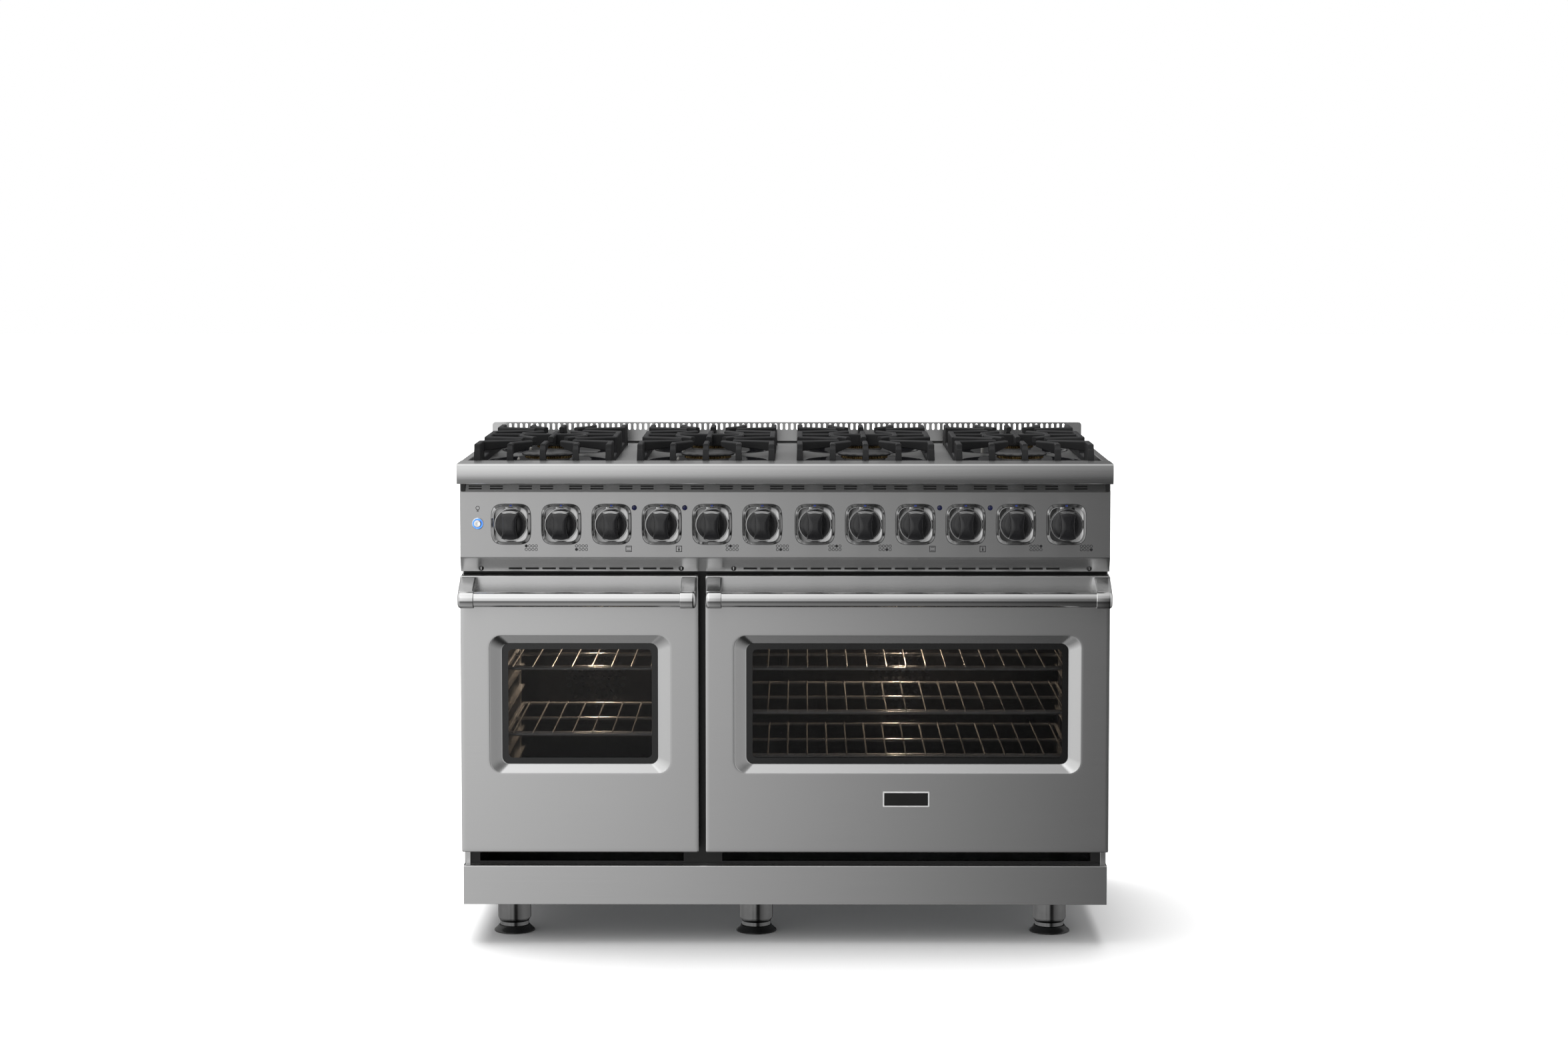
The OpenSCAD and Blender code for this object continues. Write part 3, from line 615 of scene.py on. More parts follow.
def make_knob(i):
    lo, hi = mm_box(f"knob_{i}")
    cx, cz = (lo.x + hi.x) / 2, (lo.z + hi.z) / 2
    front, back = lo.y, lo.y + 32
    bm = bmesh.new()
    skirt = [
        (25.0, back), (28.3, back - 0.6), (29.0, back - 1.8), (29.0, back - 4.4),
        (28.4, back - 5.6), (27.0, back - 6.6), (24.5, back - 7.6), (20.0, back - 8.6),
        (10.0, back - 9.0),
    ]
    lathe(bm, skirt, (cx, cz), "Y", 64)
    lathe(bm, [(29.15, back - 3.6), (29.2, back - 4.0), (28.8, back - 4.9)], (cx, cz), "Y", 64, 1)
    stages = [
        (1.0, back - 4, 0), (1.0, back - 14, 0), (0.985, back - 24, 1), (0.965, back - 28, 2),
        (0.93, front + 1.4, 3), (0.87, front + 0.4, 3.4), (0.6, front, 3.2), (0.2, front, 2.6),
    ]
    loops = [ridge_loop(cx, cz, g, y, c) for g, y, c in stages]
    loft(bm, loops, 0, True, True)
    ridge_arc(bm, cx, cz, 26.2, 0.9, front + 6.5, 1)
    ridge_arc(bm, cx, cz, 24.3, 1.0, front + 3.4, 1)
    rod(bm, (cx, back - 1, cz), (cx, hi.y, cz), 4, 20, 1)
    body = f"knob_{i}"
    piece(f"knob_{i}_grip", bm, [black_moulding, chrome], body, (body,), 38)


# ---- Lamps, button and printed symbols ----

def make_lamps():
    bm = bmesh.new()
    for x in (-281, -187, 288, 382):
        dome = [
            (4.9, -289.5), (4.9, -290.6), (4.5, -291.6), (3.4, -292.5), (1.8, -293.0), (0.3, -293.1),
        ]
        lathe(bm, dome, (x, 829), "Y", 28)
        lathe(bm, [(6.0, FACE_Y + 2.2), (6.0, FACE_Y + 6)], (x, 829), "Y", 28, 1)
    x, z = -573, 799
    halo = [(7.7, -289), (7.7, -293.2), (8.6, -293.9), (9.5, -293.2), (9.5, -291)]
    lathe(bm, halo, (x, z), "Y", 40, 2)
    lathe(bm, [(9.5, -291), (9.8, -292.6), (10.75, -292.2), (10.75, -289)], (x, z), "Y", 40, 3)
    slab(bm, (x - 9, FACE_Y + 2, z - 12), (x + 9, FACE_Y + 30, z + 12), 1)
    piece(
        "panel_lamps", bm, [lamp_blue, frame_black, glow_blue, chrome], BODY,
        ("indicator_lights",),
    )
    bm = bmesh.new()
    head = [(4.8, -288), (7.4, -292), (7.4, -294.6), (6.8, -295.6), (4.6, -296.0), (2.2, -295.2)]
    lathe(bm, head, (x, z), "Y", 40)
    rod(bm, (x, -293, z), (x, -268, z), 5, 20)
    piece("button_cap", bm, [chrome], "light_button", ("light_button",), 38)


def flat_ring(bm, x, z, r, line, y, mat=0):
    """A thin printed ring."""
    loops = [ring(r - line, y, (x, z), "Y", 24), ring(r, y, (x, z), "Y", 24)]
    loft(bm, loops, mat)


def flat_disc(bm, x, z, r, y, mat=0):
    """A thin printed dot."""
    loft(bm, [ring(r, y, (x, z), "Y", 24), ring(0.05, y, (x, z), "Y", 24)], mat)


def flat_bar(bm, x0, z0, x1, z1, y, mat=0):
    """A thin printed bar."""
    verts = [bm.verts.new(p) for p in ((x0, y, z0), (x1, y, z0), (x1, y, z1), (x0, y, z1))]
    bm.faces.new(verts).material_index = mat


def flat_frame(bm, x, z, half, line, y):
    """A thin printed square outline."""
    flat_bar(bm, x - half, z - half, x + half, z - half + line, y)
    flat_bar(bm, x - half, z + half - line, x + half, z + half, y)
    flat_bar(bm, x - half, z - half + line, x - half + line, z + half - line, y)
    flat_bar(bm, x + half - line, z - half + line, x + half, z + half - line, y)


def burner_symbol(bm, x, z, column, row, y):
    """Two rows of four rings, with the knob's own burner filled in."""
    for c in range(4):
        for r in range(2):
            cx, cz = x + (c - 1.5) * 6.2, z + (0.5 - r) * 6.4
            flat_ring(bm, cx, cz, 2.75, 0.95, y)
            if (c, r) == (column, row):
                flat_disc(bm, cx, cz, 2.1, y)


def oven_symbol(bm, x, z, y, gauge):
    """A square, with a thermometer for the temperature knobs."""
    flat_frame(bm, x, z, 5.8, 1.2, y)
    if gauge:
        flat_disc(bm, x, z - 2.0, 1.7, y)
        flat_bar(bm, x - 0.8, z - 1.2, x + 0.8, z + 3.2, y)
        return
    flat_bar(bm, x - 3.6, z + 2.6, x + 3.6, z + 3.6, y)
    flat_bar(bm, x - 3.6, z - 3.6, x + 3.6, z - 2.6, y)


def bulb_symbol(bm, x, z, y):
    """A small lamp outline above the light button."""
    flat_ring(bm, x, z + 1.2, 3.9, 1.0, y)
    flat_bar(bm, x - 1.7, z - 3.9, x + 1.7, z - 2.7, y)
    flat_bar(bm, x - 1.7, z - 5.7, x + 1.7, z - 4.6, y)


def make_symbols():
    y = FACE_Y - 0.08
    bm = bmesh.new()
    burners = {1: (0, 0), 2: (0, 1), 5: (1, 0), 6: (1, 1), 7: (2, 0), 8: (2, 1), 11: (3, 0), 12: (3, 1)}
    for i in range(1, 13):
        lo, hi = mm_box(f"knob_{i}")
        x = (lo.x + hi.x) / 2
        if i in burners:
            burner_symbol(bm, x + 37.5, 754, *burners[i], y)
        else:
            oven_symbol(bm, x + 32, 752, y, i in (4, 10))
    bulb_symbol(bm, -573, 827, y)
    piece("panel_symbols", bm, [print_grey], BODY)


# ---- Doors ----

def open_wall(bm, front, back, gaps):
    """Side wall of a door: full at the top and sides, with gaps in its bottom edge."""
    count = len(front)
    low = 3 * count // 4 - 1
    for i in range(count):
        j = (i + 1) % count
        if i != low:
            bm.faces.new([bm.verts.new(p) for p in (front[i], front[j], back[j], back[i])])
    z, y0, y1 = front[low].z, front[low].y, back[low].y
    edges = [front[low].x] + [g for gap in gaps for g in gap] + [front[low + 1].x]
    for a, b in zip(edges[::2], edges[1::2]):
        bm.faces.new([bm.verts.new(p) for p in ((a, y0, z), (b, y0, z), (b, y1, z), (a, y1, z))])


def door_shell(bm, lo, hi):
    """Front sheet of a door with folded edges and the sunken window surround."""
    cx, cz = (lo.x + hi.x) / 2, (lo.z + hi.z) / 2
    w, h = hi.x - lo.x, hi.z - lo.z
    wz, dish_w, dish_h = WINDOW_Z, w - 109, 259.0
    outer = [
        (0, -278, 3.0), (0, -288.2, 3.0), (-0.5, -289.2, 3.0), (-1.6, -289.8, 3.0),
        (-3.6, -290, 3.0), (-16, -290, 3.0),
    ]
    loops = [at_y(rounded(cx, cz, w + g, h + g, r), y) for g, y, r in outer]
    dish = [
        (12.0, 28.0, -290.0), (2.6, 23.3, -290.0), (1.0, 22.5, -289.85),
        (-0.6, 21.7, -289.4), (-2.0, 21.0, -288.8),
        (-22.5, 18.0, -284.9), (-40.0, 15.0, -281.3), (-42.6, 14.2, -280.7), (-44.2, 13.4, -279.8),
        (-45.0, 13.0, -278.6),
    ]
    loops += [at_y(rounded(cx, wz, dish_w + g, dish_h + g * 0.711, r), y) for g, r, y in dish]
    loft(bm, loops)
    hinges = [(x - 5, x + 5) for x in (lo.x + 44, hi.x - 44)]
    back = at_y(rounded(cx, cz, w, h, 3.0), -256)
    open_wall(bm, loops[0], back, hinges)


def door_panes(bm, lo, hi):
    """Outer pane, its black border, and the inner pane."""
    cx, wz = (lo.x + hi.x) / 2, WINDOW_Z
    w = hi.x - lo.x
    gw, gh = w - 154, 227.0
    prism_y(bm, rounded(cx, wz, gw + 16, gh + 16, 18), -278.4, -275.4, 0)
    border = [
        at_y(rounded(cx, wz, gw + 15, gh + 15, 17), -278.5),
        at_y(rounded(cx, wz, gw - 22, gh - 22, 9), -278.5),
    ]
    loft(bm, border, 1)
    prism_y(bm, rounded(cx, wz, gw - 0.4, gh - 0.4, 12.8), -261, -257, 2)


def handle_sleeve(bm, x0, x1, cy, cz, outer_left):
    """Sleeve at an end of the handle tube: a soft outer end and a crisp inner lip."""
    r = 16.5
    soft = [(9.0, 0.0), (12.5, 0.5), (14.6, 1.7), (15.9, 3.6), (16.4, 5.6), (r, 7.5)]
    crisp = [(r, 28.6), (16.1, 29.6), (15.2, 30.0)]
    profile = [(a, x0 + b) for a, b in soft + crisp]
    if not outer_left:
        profile = [(a, x1 - b) for a, b in soft + crisp]
    lathe(bm, profile, (cy, cz), "X", 56)


def bracket_arm(bm, x0, x1, cy, cz, top):
    """Arm from the door's top corner forward and down to its sleeve, with chamfered sides."""
    face = FACE_Y
    outer = [
        (face, top - 2), (face - 20, top - 2), (cy - 3, cz + 14), (cy + 11, cz - 8), (face, top - 26),
    ]
    inner = [
        (face, top - 0.6), (face - 22, top - 0.6), (cy - 6, cz + 15.4), (cy + 12, cz - 8),
        (face, top - 28),
    ]
    order = [(x0 + 0.4, outer), (x0 + 3.2, inner), (x1 - 3.2, inner), (x1 - 0.4, outer)]
    loops = [[Vector((x, y, z)) for y, z in shape] for x, shape in order]
    loft(bm, loops, 0, True, True)


def make_door(side):
    body = f"{side}_door"
    lo, hi = mm_box(f"{side}_door_skin")
    bm = bmesh.new()
    door_shell(bm, lo, hi)
    piece(f"{side}_door_front", bm, [steel], body, (f"{side}_door_skin",), 35)
    bm = bmesh.new()
    door_panes(bm, lo, hi)
    piece(
        f"{side}_door_panes", bm, [pane, frit, inner_pane], body, (f"{side}_door_glass",)
    )
    blo, bhi = mm_box(f"{side}_handle_brackets")
    cy, cz = blo.y + 16.5, blo.z + 16.5
    bm = bmesh.new()
    handle_sleeve(bm, blo.x, blo.x + 30, cy, cz, True)
    handle_sleeve(bm, bhi.x - 30, bhi.x, cy, cz, False)
    piece(f"{side}_sleeves", bm, [steel_round], body, sharp=40)
    bm = bmesh.new()
    bracket_arm(bm, blo.x, blo.x + 30, cy, cz, bhi.z)
    bracket_arm(bm, bhi.x - 30, bhi.x, cy, cz, bhi.z)
    piece(
        f"{side}_arms", bm, [nickel], body, (f"{side}_handle_brackets",), 35, 1.0
    )
    bm = bmesh.new()
    tube = [(11.0, blo.x + 26), (14.25, blo.x + 26), (14.25, bhi.x - 26), (11.0, bhi.x - 26)]
    lathe(bm, tube, (cy, cz), "X", 72)
    piece(f"{side}_handle_tube", bm, [steel_round], body, (f"{side}_door_handle",), 40)


def make_badge():
    """Blank name plate on the wide door: a polished rim round a black field."""
    x, z = 227.0, 280.0
    bm = bmesh.new()
    stages = [
        (87, 29, 1.8, -289.6), (87, 29, 1.8, -291.6), (86, 28, 1.6, -292.1), (82.6, 24.6, 1.2, -292.1),
        (81.8, 23.8, 1.0, -291.4),
    ]
    loft(bm, [at_y(rounded(x, z, w, h, r, 4), y) for w, h, r, y in stages])
    field = at_y(rounded(x, z, 81.8, 23.8, 1.0, 4), -291.4)
    bm.faces.new([bm.verts.new(p) for p in field]).material_index = 1
    piece("door_plate", bm, [plate_silver, frit], "right_door", sharp=30)


# ---- Cooktop ----

COLUMNS = (-455, -149, 151, 450)
ROWS = (-104, 170)


def make_pan():
    """Top sheet with a round hole for each bowl, as strips of faces round the holes."""
    lo, hi = mm_box("cooktop_pan")
    bm = bmesh.new()
    xs = [lo.x + 18, -302, 1, 300.5, hi.x - 18]
    ys = [lo.y, 33, hi.y]
    for c, cx in enumerate(COLUMNS):
        for r, cy in enumerate(ROWS):
            pan_cell(bm, (xs[c], ys[r]), (xs[c + 1], ys[r + 1]), (cx, cy))
    for s in (-1, 1):
        edge = [
            (s * 608, PAN_Z - 1), (s * 608, 912.4), (s * 606.4, 914), (s * 595.4, 914),
            (s * 593.8, 913), (s * 590.5, PAN_Z + 1.5), (s * 588.5, PAN_Z), (s * 588.5, PAN_Z - 1),
        ]
        prism_y(bm, edge, lo.y, hi.y)
    piece("pan_sheet", bm, [steel_dull], BODY, ("cooktop_pan",), 30)
    bm = bmesh.new()
    for cx in COLUMNS:
        for cy in ROWS:
            bowl = [
                (114.0, PAN_Z + 0.3), (112.6, PAN_Z + 0.9), (111.2, PAN_Z + 0.4), (109.5, PAN_Z - 2.0),
                (104.0, PAN_Z - 7.0), (98.0, PAN_Z - 10.2), (90.0, PAN_Z - 11.6), (60.0, PAN_Z - 12.0),
                (42.0, PAN_Z - 11.4), (20.0, PAN_Z - 11.4), (20.0, PAN_Z - 14.0), (95.0, PAN_Z - 14.0),
                (114.0, PAN_Z - 2.0),
            ]
            loft(bm, [ring(r, z, (cx, cy), "Z", 72) for r, z in bowl])
    piece("burner_bowls", bm, [black_enamel], BODY, sharp=50)


def pan_cell(bm, lo, hi, centre):
    """A flat rectangle with a round hole, as one ring of faces."""
    steps = 48
    hole, edge = [], []
    for k in range(steps):
        a = 2 * math.pi * k / steps
        c, s = math.cos(a), math.sin(a)
        hole.append(Vector((centre[0] + 111.5 * c, centre[1] + 111.5 * s, PAN_Z)))
        reach = min(
            ((hi[0] if c > 0 else lo[0]) - centre[0]) / c if abs(c) > 1e-6 else 1e9,
            ((hi[1] if s > 0 else lo[1]) - centre[1]) / s if abs(s) > 1e-6 else 1e9,
        )
        edge.append(Vector((centre[0] + reach * c, centre[1] + reach * s, PAN_Z)))
    rows = loft(bm, [hole, edge])
    for corner in ((lo[0], lo[1]), (lo[0], hi[1]), (hi[0], lo[1]), (hi[0], hi[1])):
        fill_corner(bm, rows[1], corner)


def fill_corner(bm, row, corner):
    """The small triangle that a ring of faces leaves at a corner."""
    for a, b in zip(row, row[1:] + row[:1]):
        on_x = [abs(v.co.x - corner[0]) < 0.01 for v in (a, b)]
        on_y = [abs(v.co.y - corner[1]) < 0.01 for v in (a, b)]
        if (on_x[0] and on_y[1] and not on_y[0]) or (on_y[0] and on_x[1] and not on_x[0]):
            bm.faces.new((a, b, bm.verts.new((corner[0], corner[1], PAN_Z))))


def port_ring(bm, cx, cy, z0, z1, mat):
    """Flame ring with a tooth between each pair of ports."""
    teeth, loops = 36, []
    for r_in, z in ((44.0, z0), (44.8, z0 + 0.6)):
        loops.append(ring(r_in, z, (cx, cy), "Z", teeth * 4))
    for z in (z0 + 1.0, z1 - 0.4):
        loop = []
        for k, p in enumerate(ring(1.0, z, (0, 0), "Z", teeth * 4)):
            r = 44.8 if k % 4 < 2 else 42.2
            loop.append(Vector((cx + p.x * r, cy + p.y * r, z)))
        loops.append(loop)
    loops.append(ring(42.0, z1, (cx, cy), "Z", teeth * 4))
    loft(bm, loops, mat, False, True)


def make_burners():
    base, rings, caps, spark = bmesh.new(), bmesh.new(), bmesh.new(), bmesh.new()
    floor_z = PAN_Z - 12
    for cx in COLUMNS:
        for cy in ROWS:
            c = (cx, cy)
            stem = [
                (14, floor_z - 17), (14, floor_z), (46, floor_z + 0.4), (46, floor_z + 2.6),
                (41, floor_z + 4), (39.5, floor_z + 12), (41, floor_z + 16), (43, floor_z + 18),
            ]
            lathe(base, stem, c, "Z", 56)
            port_ring(rings, cx, cy, floor_z + 17.6, floor_z + 23, 0)
            cap = [
                (40.0, floor_z + 23.0), (49.4, floor_z + 23.0), (50.6, floor_z + 23.8),
                (51.0, floor_z + 25.2), (50.4, floor_z + 27.0), (48.2, floor_z + 28.8),
                (45.0, floor_z + 29.6), (30.0, floor_z + 30.2), (8.0, floor_z + 30.5),
            ]
            lathe(caps, cap, c, "Z", 72)
            tip = (cx - 57, cy)
            post = [
                (3.0, floor_z), (3.0, floor_z + 15), (2.2, floor_z + 17), (0.9, floor_z + 17.2),
                (0.9, floor_z + 21),
            ]
            lathe(spark, post, tip, "Z", 20)
    piece("burner_heads", base, [cast_aluminium], BODY, ("burner_bases",), 40)
    piece("burner_ports", rings, [brass], BODY, ("burner_rings",), 30)
    piece("burner_lids", caps, [cap_enamel], BODY, ("burner_caps",), 50)
    piece("spark_posts", spark, [ceramic], BODY, ("igniters",), 40)


# ---- Grates ----

GRATE_TOP = 945.0


def iron_bar(bm, origin, a, b, h0, h1, w=10.6):
    """A tapering cast bar with chamfered upper edges and a slight draft below."""
    a = Vector((origin[0] + a[0], origin[1] + a[1], 0))
    b = Vector((origin[0] + b[0], origin[1] + b[1], 0))
    way = (b - a).normalized()
    side = Vector((-way.y, way.x, 0))
    loops = []
    for p, h in ((a, h0), (b, h1)):
        half, top, low = w / 2, GRATE_TOP, GRATE_TOP - h
        shape = [
            (-half + 2.0, top), (half - 2.0, top), (half, top - 2.4), (half - 0.8, low + 1.5),
            (half - 2.2, low), (-half + 2.2, low), (-half + 0.8, low + 1.5), (-half, top - 2.4),
        ]
        loops.append([Vector((p.x, p.y, 0)) + side * s + Vector((0, 0, z)) for s, z in shape])
    loft(bm, loops, 0, True, True)


def iron_post(bm, x, y, depth, s):
    """An end post: wider at its foot, with a sloping facet up to the cooking surface."""
    profile = [
        (0, PAN_Z + 0.2), (0.6, 932.5), (2.0, 935.5), (6.5, 943.6), (8.0, 944.4), (depth, 944.4),
        (depth, PAN_Z + 0.2),
    ]
    widths = [6.6, 5.6, 5.2, 4.6, 4.4, 4.4, 6.6]
    loops = []
    for sign in (-1, 1):
        loop = []
        for (d, z), half in zip(profile, widths):
            loop.append(Vector((x + sign * half, y + s * d, z)))
        loops.append(loop)
    loft(bm, loops, 0, True, True)


def iron_rail(bm, lo, hi):
    """A straight cast rail with a chamfer along its top."""
    cut = 1.6
    bottom = [(lo[0], lo[1]), (hi[0], lo[1]), (hi[0], hi[1]), (lo[0], hi[1])]
    top = [
        (lo[0] + cut, lo[1] + cut), (hi[0] - cut, lo[1] + cut), (hi[0] - cut, hi[1] - cut),
        (lo[0] + cut, hi[1] - cut),
    ]
    levels = ((bottom, lo[2]), (bottom, hi[2] - cut), (top, hi[2]))
    loops = [[Vector((x, y, z)) for x, y in shape] for shape, z in levels]
    loft(bm, loops, 0, True, True)


FINGERS = (
    ((123.4, 84), (50, 112), 20, 12), ((61.7, 5), (61.7, 46), 24, 22), ((61.7, 42), (30, 92), 22, 12),
    ((123.4, 200), (50, 168), 20, 12), ((61.7, 277), (61.7, 234), 22, 22), ((61.7, 238), (30, 188), 22, 12),
)


def make_grate(i):
    body = f"grate_{i}"
    lo, hi = mm_box(body)
    cx = (lo.x + hi.x) / 2
    bm = bmesh.new()
    for s, y0 in ((1, lo.y), (-1, hi.y)):
        for a, b, h0, h1 in FINGERS:
            for m in (-1, 1):
                iron_bar(bm, (cx, y0), (m * a[0], s * a[1]), (m * b[0], s * b[1]), h0, h1)
        iron_bar(bm, (cx, y0), (0, s * 5), (0, s * 84), 24, 12)
        iron_bar(bm, (cx, y0), (0, s * 277), (0, s * 194), 22, 12)
        for u in (-123.4, -61.7, 0, 61.7, 123.4):
            iron_post(bm, cx + u, y0, 13, s)
        low = min(y0, y0 + s * 10)
        iron_rail(bm, (cx - 130, low + 0.4, PAN_Z + 0.2), (cx + 130, low + 9.6, PAN_Z + 11))
        for m in (-1, 1):
            x = cx + m * 123.4
            for v0, v1, z1 in ((2, 89, GRATE_TOP), (195, 278, GRATE_TOP), (80, 200, PAN_Z + 11)):
                ya, yb = sorted((y0 + s * v0, y0 + s * v1))
                iron_rail(bm, (x - 5.3, ya, PAN_Z + 0.2), (x + 5.3, yb, z1))
    mid = (lo.y + hi.y) / 2
    iron_rail(bm, (cx - 123.4, mid - 5.3, GRATE_TOP - 22), (cx + 123.4, mid + 5.3, GRATE_TOP))
    piece(f"{body}_casting", bm, [cast_iron], body, (body,), 30, 0.7)


# ---- Ovens ----

def rack_rods(bm, lo, hi):
    """One wire rack: frame rods, a second front rod, and wires from front to back."""
    z = lo.z + 3
    xs = (lo.x + 3, hi.x - 3)
    for x in xs:
        rod(bm, (x, lo.y, z), (x, hi.y, z), 3, 12)
    for y in (lo.y + 3, lo.y + 24, (lo.y + hi.y) / 2, hi.y - 3):
        rod(bm, (xs[0], y, z), (xs[1], y, z), 3, 12)
    wires = math.floor((hi.x - lo.x - 13 - 7) / 37.5)
    cx = (lo.x + hi.x) / 2
    for k in range(wires + 1):
        x = cx + (k - wires / 2) * 37.5
        rod(bm, (x, lo.y + 1, z + 3), (x, hi.y - 1, z + 3), 1.8, 10)


def make_racks():
    levels = {"left": (388, 514), "right": (346, 430, 514)}
    bm = bmesh.new()
    for side, heights in levels.items():
        lo, hi = mm_box(f"{side}_oven_liner")
        for z in heights:
            a = Vector((lo.x + 2 + 3.5, -225, z))
            b = Vector((hi.x - 2 - 3.5, 167, z + 8))
            rack_rods(bm, a, b)
    piece("wire_racks", bm, [rack_wire], BODY, ("oven_racks",), 60)


def make_oven_lamps():
    bm = bmesh.new()
    for side in ("left", "right"):
        lo, hi = mm_box(f"{side}_oven_liner")
        x = (lo.x + hi.x) / 2
        z = hi.z - 27
        lathe(bm, [(20, 215), (20, 211), (17.5, 209.5), (17.5, 206)], (x, z), "Y", 40, 1)
        lens = [(16.5, 209), (16.5, 203), (15.6, 198), (13.0, 194), (8.0, 191), (2.0, 190)]
        lathe(bm, lens, (x, z), "Y", 40, 0)
    piece("oven_lenses", bm, [glow_warm, nickel], BODY, ("oven_lamps",), 50)


# ---- Base ----

def make_legs():
    tubes, feet = bmesh.new(), bmesh.new()
    for x in (-521, -56, 507):
        for y in (-155, 300):
            tube = [
                (11, 21), (27.0, 21), (28.4, 21.6), (30.8, 25.6), (31.5, 27.5), (31.5, 73), (31.0, 74.6),
                (31.5, 75.9), (12, 75.9),
            ]
            lathe(tubes, tube, (x, y), "Z", 56)
            foot = [
                (36, 0), (38.6, 0.5), (39, 1.6), (38.4, 3.2), (35.5, 5.6), (31.2, 9.8), (29.8, 12.0),
                (27.5, 12.6), (26.0, 12.6),
            ]
            lathe(feet, foot, (x, y), "Z", 56)
            neck = [(26.8, 12.7), (27.5, 13.2), (27.5, 19.8), (27.0, 20.3), (10, 20.4), (10, 68)]
            lathe(feet, neck, (x, y), "Z", 56, 1)
    piece("leg_sleeves", tubes, [leg_steel], BODY, ("leg_tubes",), 40)
    piece("levelling_feet", feet, [foot_black, leg_steel], BODY, ("leg_feet",), 40)


def make_gap_fillets():
    """Steel uprights at the ends of the gap between the kick panel and the doors."""
    kick_top = mm_box("kick_panel")[1].z
    door_foot = mm_box("left_door_skin")[0].z
    bm = bmesh.new()
    for x in (-605, 595):
        slab(bm, (x, -252.5, kick_top - 6), (x + 10, -248.2, door_foot - 2))
    piece("gap_fillets", bm, [steel], BODY, bevel=0.6)


def make_kick():
    lo, hi = mm_box("kick_panel")
    bm = bmesh.new()
    profile = [(lo.y, lo.z), (lo.y, hi.z - 2)]
    profile += arc((lo.y + 2, hi.z - 2), 2.0, 180, 90, 5)
    profile += [(hi.y, hi.z), (hi.y, hi.z - 2), (lo.y + 2, hi.z - 2), (lo.y + 2, lo.z)]
    prism_x(bm, profile, lo.x, hi.x)
    piece("kick_plate", bm, [steel], BODY, ("kick_panel",), 50, 0.4)


# ---- Finishes of the CAD nodes that stay ----

KEPT = {
    "base_pan": galvanised, "left_side_panel": steel_upright, "right_side_panel": steel_upright,
    # front_frame is near black, which makes the gap between the doors dark.
    "rear_panel": galvanised, "front_frame": frame_black,
    "island_trim": steel, "gas_manifold": pipe_black, "gas_valves": brass,
    "left_oven_liner": oven_enamel, "right_oven_liner": oven_enamel, "rack_guides": rack_wire,
    "fan_baffles": baffle_steel, "fan_motors": motor_grey, "oven_burners": burner_steel,
    "door_hinges": galvanised, "oven_gaskets": gasket, "oven_insulation": blanket,
    "left_fan": fan_steel, "right_fan": fan_steel, "left_door_liner": oven_enamel,
    "right_door_liner": oven_enamel,
}


def dress_kept_nodes():
    for name, mat in KEPT.items():
        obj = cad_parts[name]
        obj.data.materials.clear()
        obj.data.materials.append(mat)


# ---- Stage, light and camera ----

def make_floor():
    bm = bmesh.new()
    size = 30.0
    corners = ((-size, -size, 0), (size, -size, 0), (size, size, 0), (-size, size, 0))
    bm.faces.new([bm.verts.new(p) for p in corners])
    mesh = bpy.data.meshes.new("floor")
    bm.to_mesh(mesh)
    bm.free()
    floor = bpy.data.objects.new("floor", mesh)
    bpy.context.scene.collection.objects.link(floor)
    mat, tree, shader = blank("floor_pale")
    value = noise(tree, coords(tree, (1, 1, 1)), 0.7, 2.0, 0.5)
    colour = tint(tree, value, (0.86, 0.86, 0.86), (0.88, 0.88, 0.88))
    tree.links.new(colour, shader.inputs["Base Color"])
    shader.inputs["Roughness"].default_value = 0.9
    shader.inputs["Specular IOR Level"].default_value = 0.1
    mesh.materials.append(mat)
    floor.visible_glossy = False


def point_light(name, place, power, radius, colour):
    """A small bulb; the place is in metres."""
    lamp = bpy.data.lights.new(name, "POINT")
    lamp.energy = power
    lamp.shadow_soft_size = radius
    lamp.color = colour
    obj = bpy.data.objects.new(name, lamp)
    bpy.context.scene.collection.objects.link(obj)
    obj.location = place
    return obj


def sky_ramp(tree, axis, stops):
    """Brightness along one axis of the viewing direction, from (place, level) pairs."""
    source = tree.nodes.new("ShaderNodeTexCoord")
    split = tree.nodes.new("ShaderNodeSeparateXYZ")
    tree.links.new(source.outputs["Generated"], split.inputs["Vector"])
    unit = add(tree, "ShaderNodeMapRange", From_Min=-1.0, From_Max=1.0, To_Min=0.0, To_Max=1.0)
    tree.links.new(split.outputs[axis], unit.inputs["Value"])
    ramp = tree.nodes.new("ShaderNodeValToRGB")
    ramp.color_ramp.interpolation = "EASE"
    marks = ramp.color_ramp.elements
    for k, (place, level) in enumerate(stops):
        mark = marks[k] if k < 2 else marks.new(1.0)
        mark.position = (place + 1) / 2
        mark.color = (level, level, level, 1)
    tree.links.new(unit.outputs["Result"], ramp.inputs["Fac"])
    return ramp.outputs["Color"]


def mixed(tree, kind, first, second):
    """Two colours multiplied or added."""
    node = tree.nodes.new("ShaderNodeMix")
    node.data_type = "RGBA"
    node.blend_type = kind
    node.inputs["Factor"].default_value = 1.0
    low, high = [k for k in node.inputs if k.type == "RGBA"]
    tree.links.new(first, low)
    tree.links.new(second, high)
    return [k for k in node.outputs if k.type == "RGBA"][0]


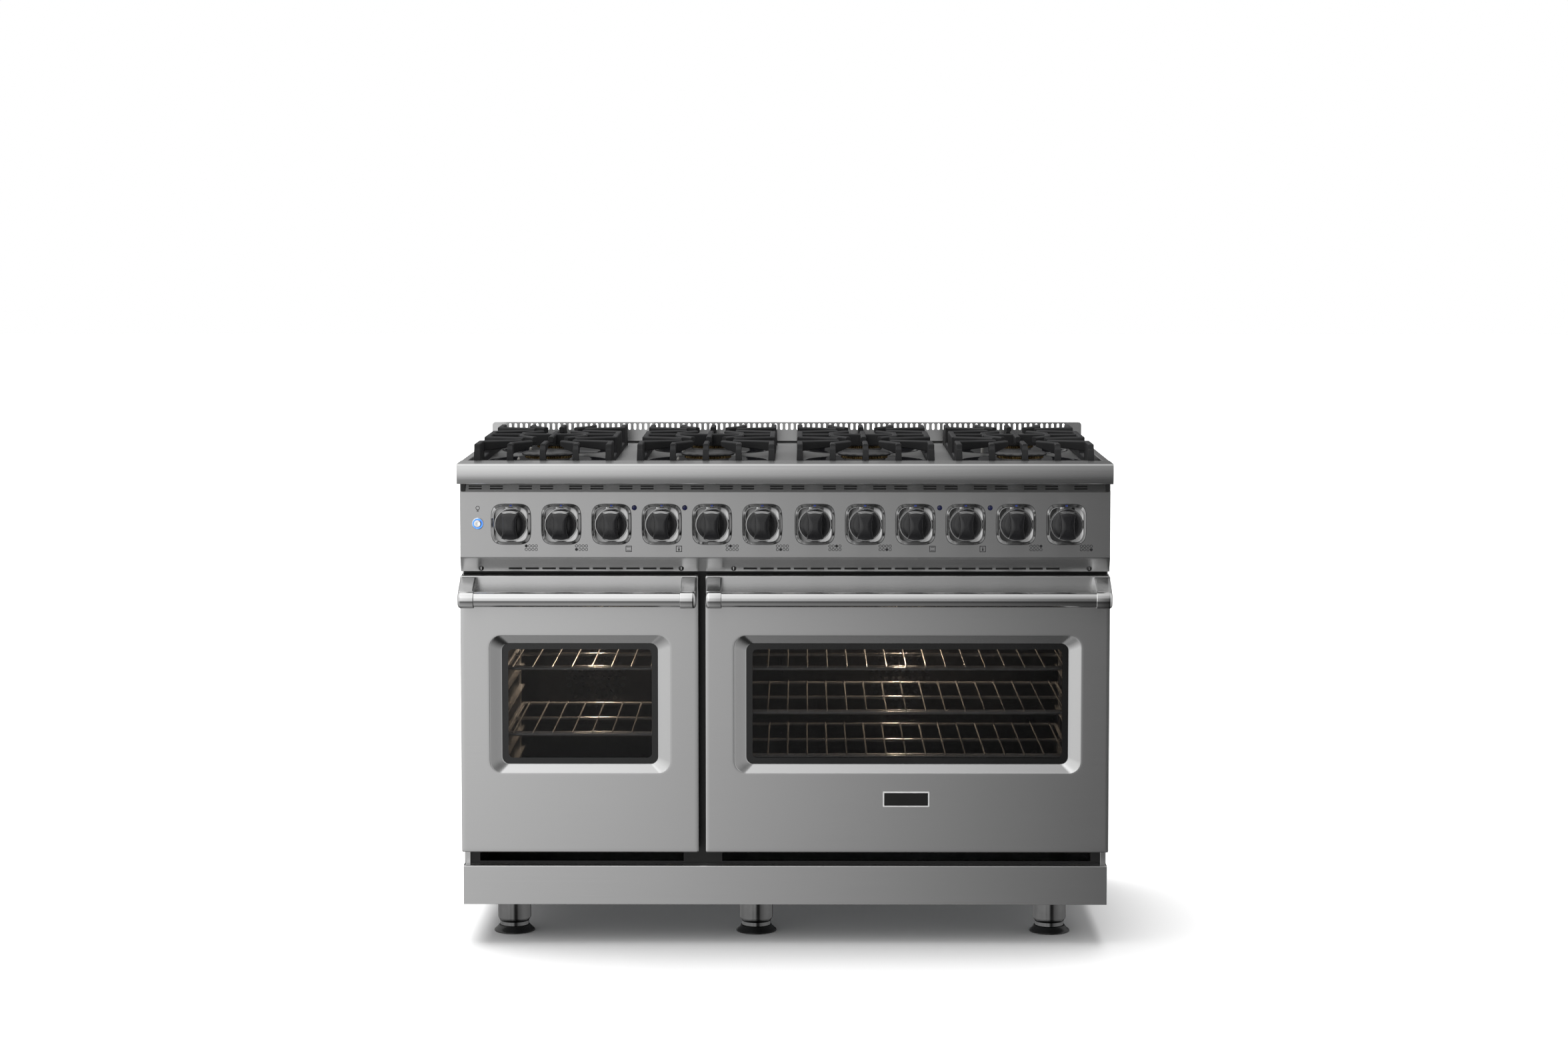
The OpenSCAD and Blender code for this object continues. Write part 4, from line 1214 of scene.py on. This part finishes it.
def make_world():
    """White backdrop, and a soft studio round the part: dark floor side, brighter on the left."""
    world = bpy.data.worlds.new("studio")
    bpy.context.scene.world = world
    world.use_nodes = True
    tree = world.node_tree
    tree.nodes.clear()
    out = tree.nodes.new("ShaderNodeOutputWorld")
    side_levels = (
        (-1.0, 0.3), (-0.4, 0.7), (-0.17, 1.0), (-0.06, 0.74), (0.02, 0.4), (0.12, 0.05),
        (0.25, 0.05), (1.0, 0.15),
    )
    across = sky_ramp(tree, "X", side_levels)
    height_levels = (
        (-1.0, 0.4), (-0.75, 0.3), (-0.5, 0.1), (-0.3, 0.4), (-0.12, 0.95), (0.08, 0.9),
        (0.5, 1.1), (1.0, 0.7),
    )
    height = sky_ramp(tree, "Z", height_levels)
    depth = sky_ramp(tree, "Y", ((-1.0, 1.0), (-0.1, 1.0), (0.4, 0.4), (1.0, 0.3)))
    fill = ((-1.0, 0.4), (-0.6, 0.25), (-0.3, 0.0), (0.3, 0.0), (0.6, 0.24), (1.0, 0.36))
    sides = sky_ramp(tree, "X", fill)
    above = sky_ramp(tree, "Z", ((-1.0, 0.0), (0.22, 0.0), (0.7, 0.25), (1.0, 0.5)))
    level = mixed(tree, "MULTIPLY", mixed(tree, "MULTIPLY", across, height), depth)
    level = mixed(tree, "ADD", mixed(tree, "ADD", level, sides), above)
    soft = add(tree, "ShaderNodeBackground", Strength=1.2)
    tree.links.new(level, soft.inputs["Color"])
    white = add(tree, "ShaderNodeBackground", Color=(1, 1, 1, 1), Strength=1.0)
    path = tree.nodes.new("ShaderNodeLightPath")
    mix = tree.nodes.new("ShaderNodeMixShader")
    tree.links.new(path.outputs["Is Camera Ray"], mix.inputs["Fac"])
    tree.links.new(soft.outputs["Background"], mix.inputs[1])
    tree.links.new(white.outputs["Background"], mix.inputs[2])
    tree.links.new(mix.outputs["Shader"], out.inputs["Surface"])


def sun_light(name, direction, strength, spread):
    """A very soft overhead light; spread is the angle it fills, in degrees."""
    lamp = bpy.data.lights.new(name, "SUN")
    lamp.energy = strength
    lamp.angle = math.radians(spread)
    obj = bpy.data.objects.new(name, lamp)
    bpy.context.scene.collection.objects.link(obj)
    obj.rotation_euler = Vector(direction).to_track_quat("-Z", "Y").to_euler()
    obj.visible_glossy = False
    return obj


def make_lights():
    sun_light("overhead", (0.16, -0.18, -1.0), 3.4, 48)
    for side in ("left", "right"):
        lo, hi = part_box(f"{side}_oven_liner")
        x = (lo.x + hi.x) / 2
        point_light(f"{side}_bulb", (x, 0.165, hi.z - 0.03), 9.0, 0.015, (1.0, 0.78, 0.56))


def make_camera():
    data = bpy.data.cameras.new("camera")
    data.sensor_width = 36.0
    data.lens = 73.0
    data.shift_y = -0.05
    obj = bpy.data.objects.new("camera", data)
    bpy.context.scene.collection.objects.link(obj)
    obj.location = (0.031, -6.19, 1.376)
    obj.rotation_euler = (math.radians(90 - 4.15), 0, math.radians(0.32))
    bpy.context.scene.camera = obj


make_ledge()
make_panel()
make_panel_trims()
make_bezels()
for number in range(1, 13):
    make_knob(number)
make_lamps()
make_symbols()
for door in ("left", "right"):
    make_door(door)
make_badge()
make_pan()
make_burners()
for number in range(1, 5):
    make_grate(number)
make_racks()
make_oven_lamps()
make_legs()
make_kick()
make_gap_fillets()
dress_kept_nodes()
make_floor()
make_world()
make_lights()
make_camera()
bpy.context.scene.view_settings.view_transform = "Standard"
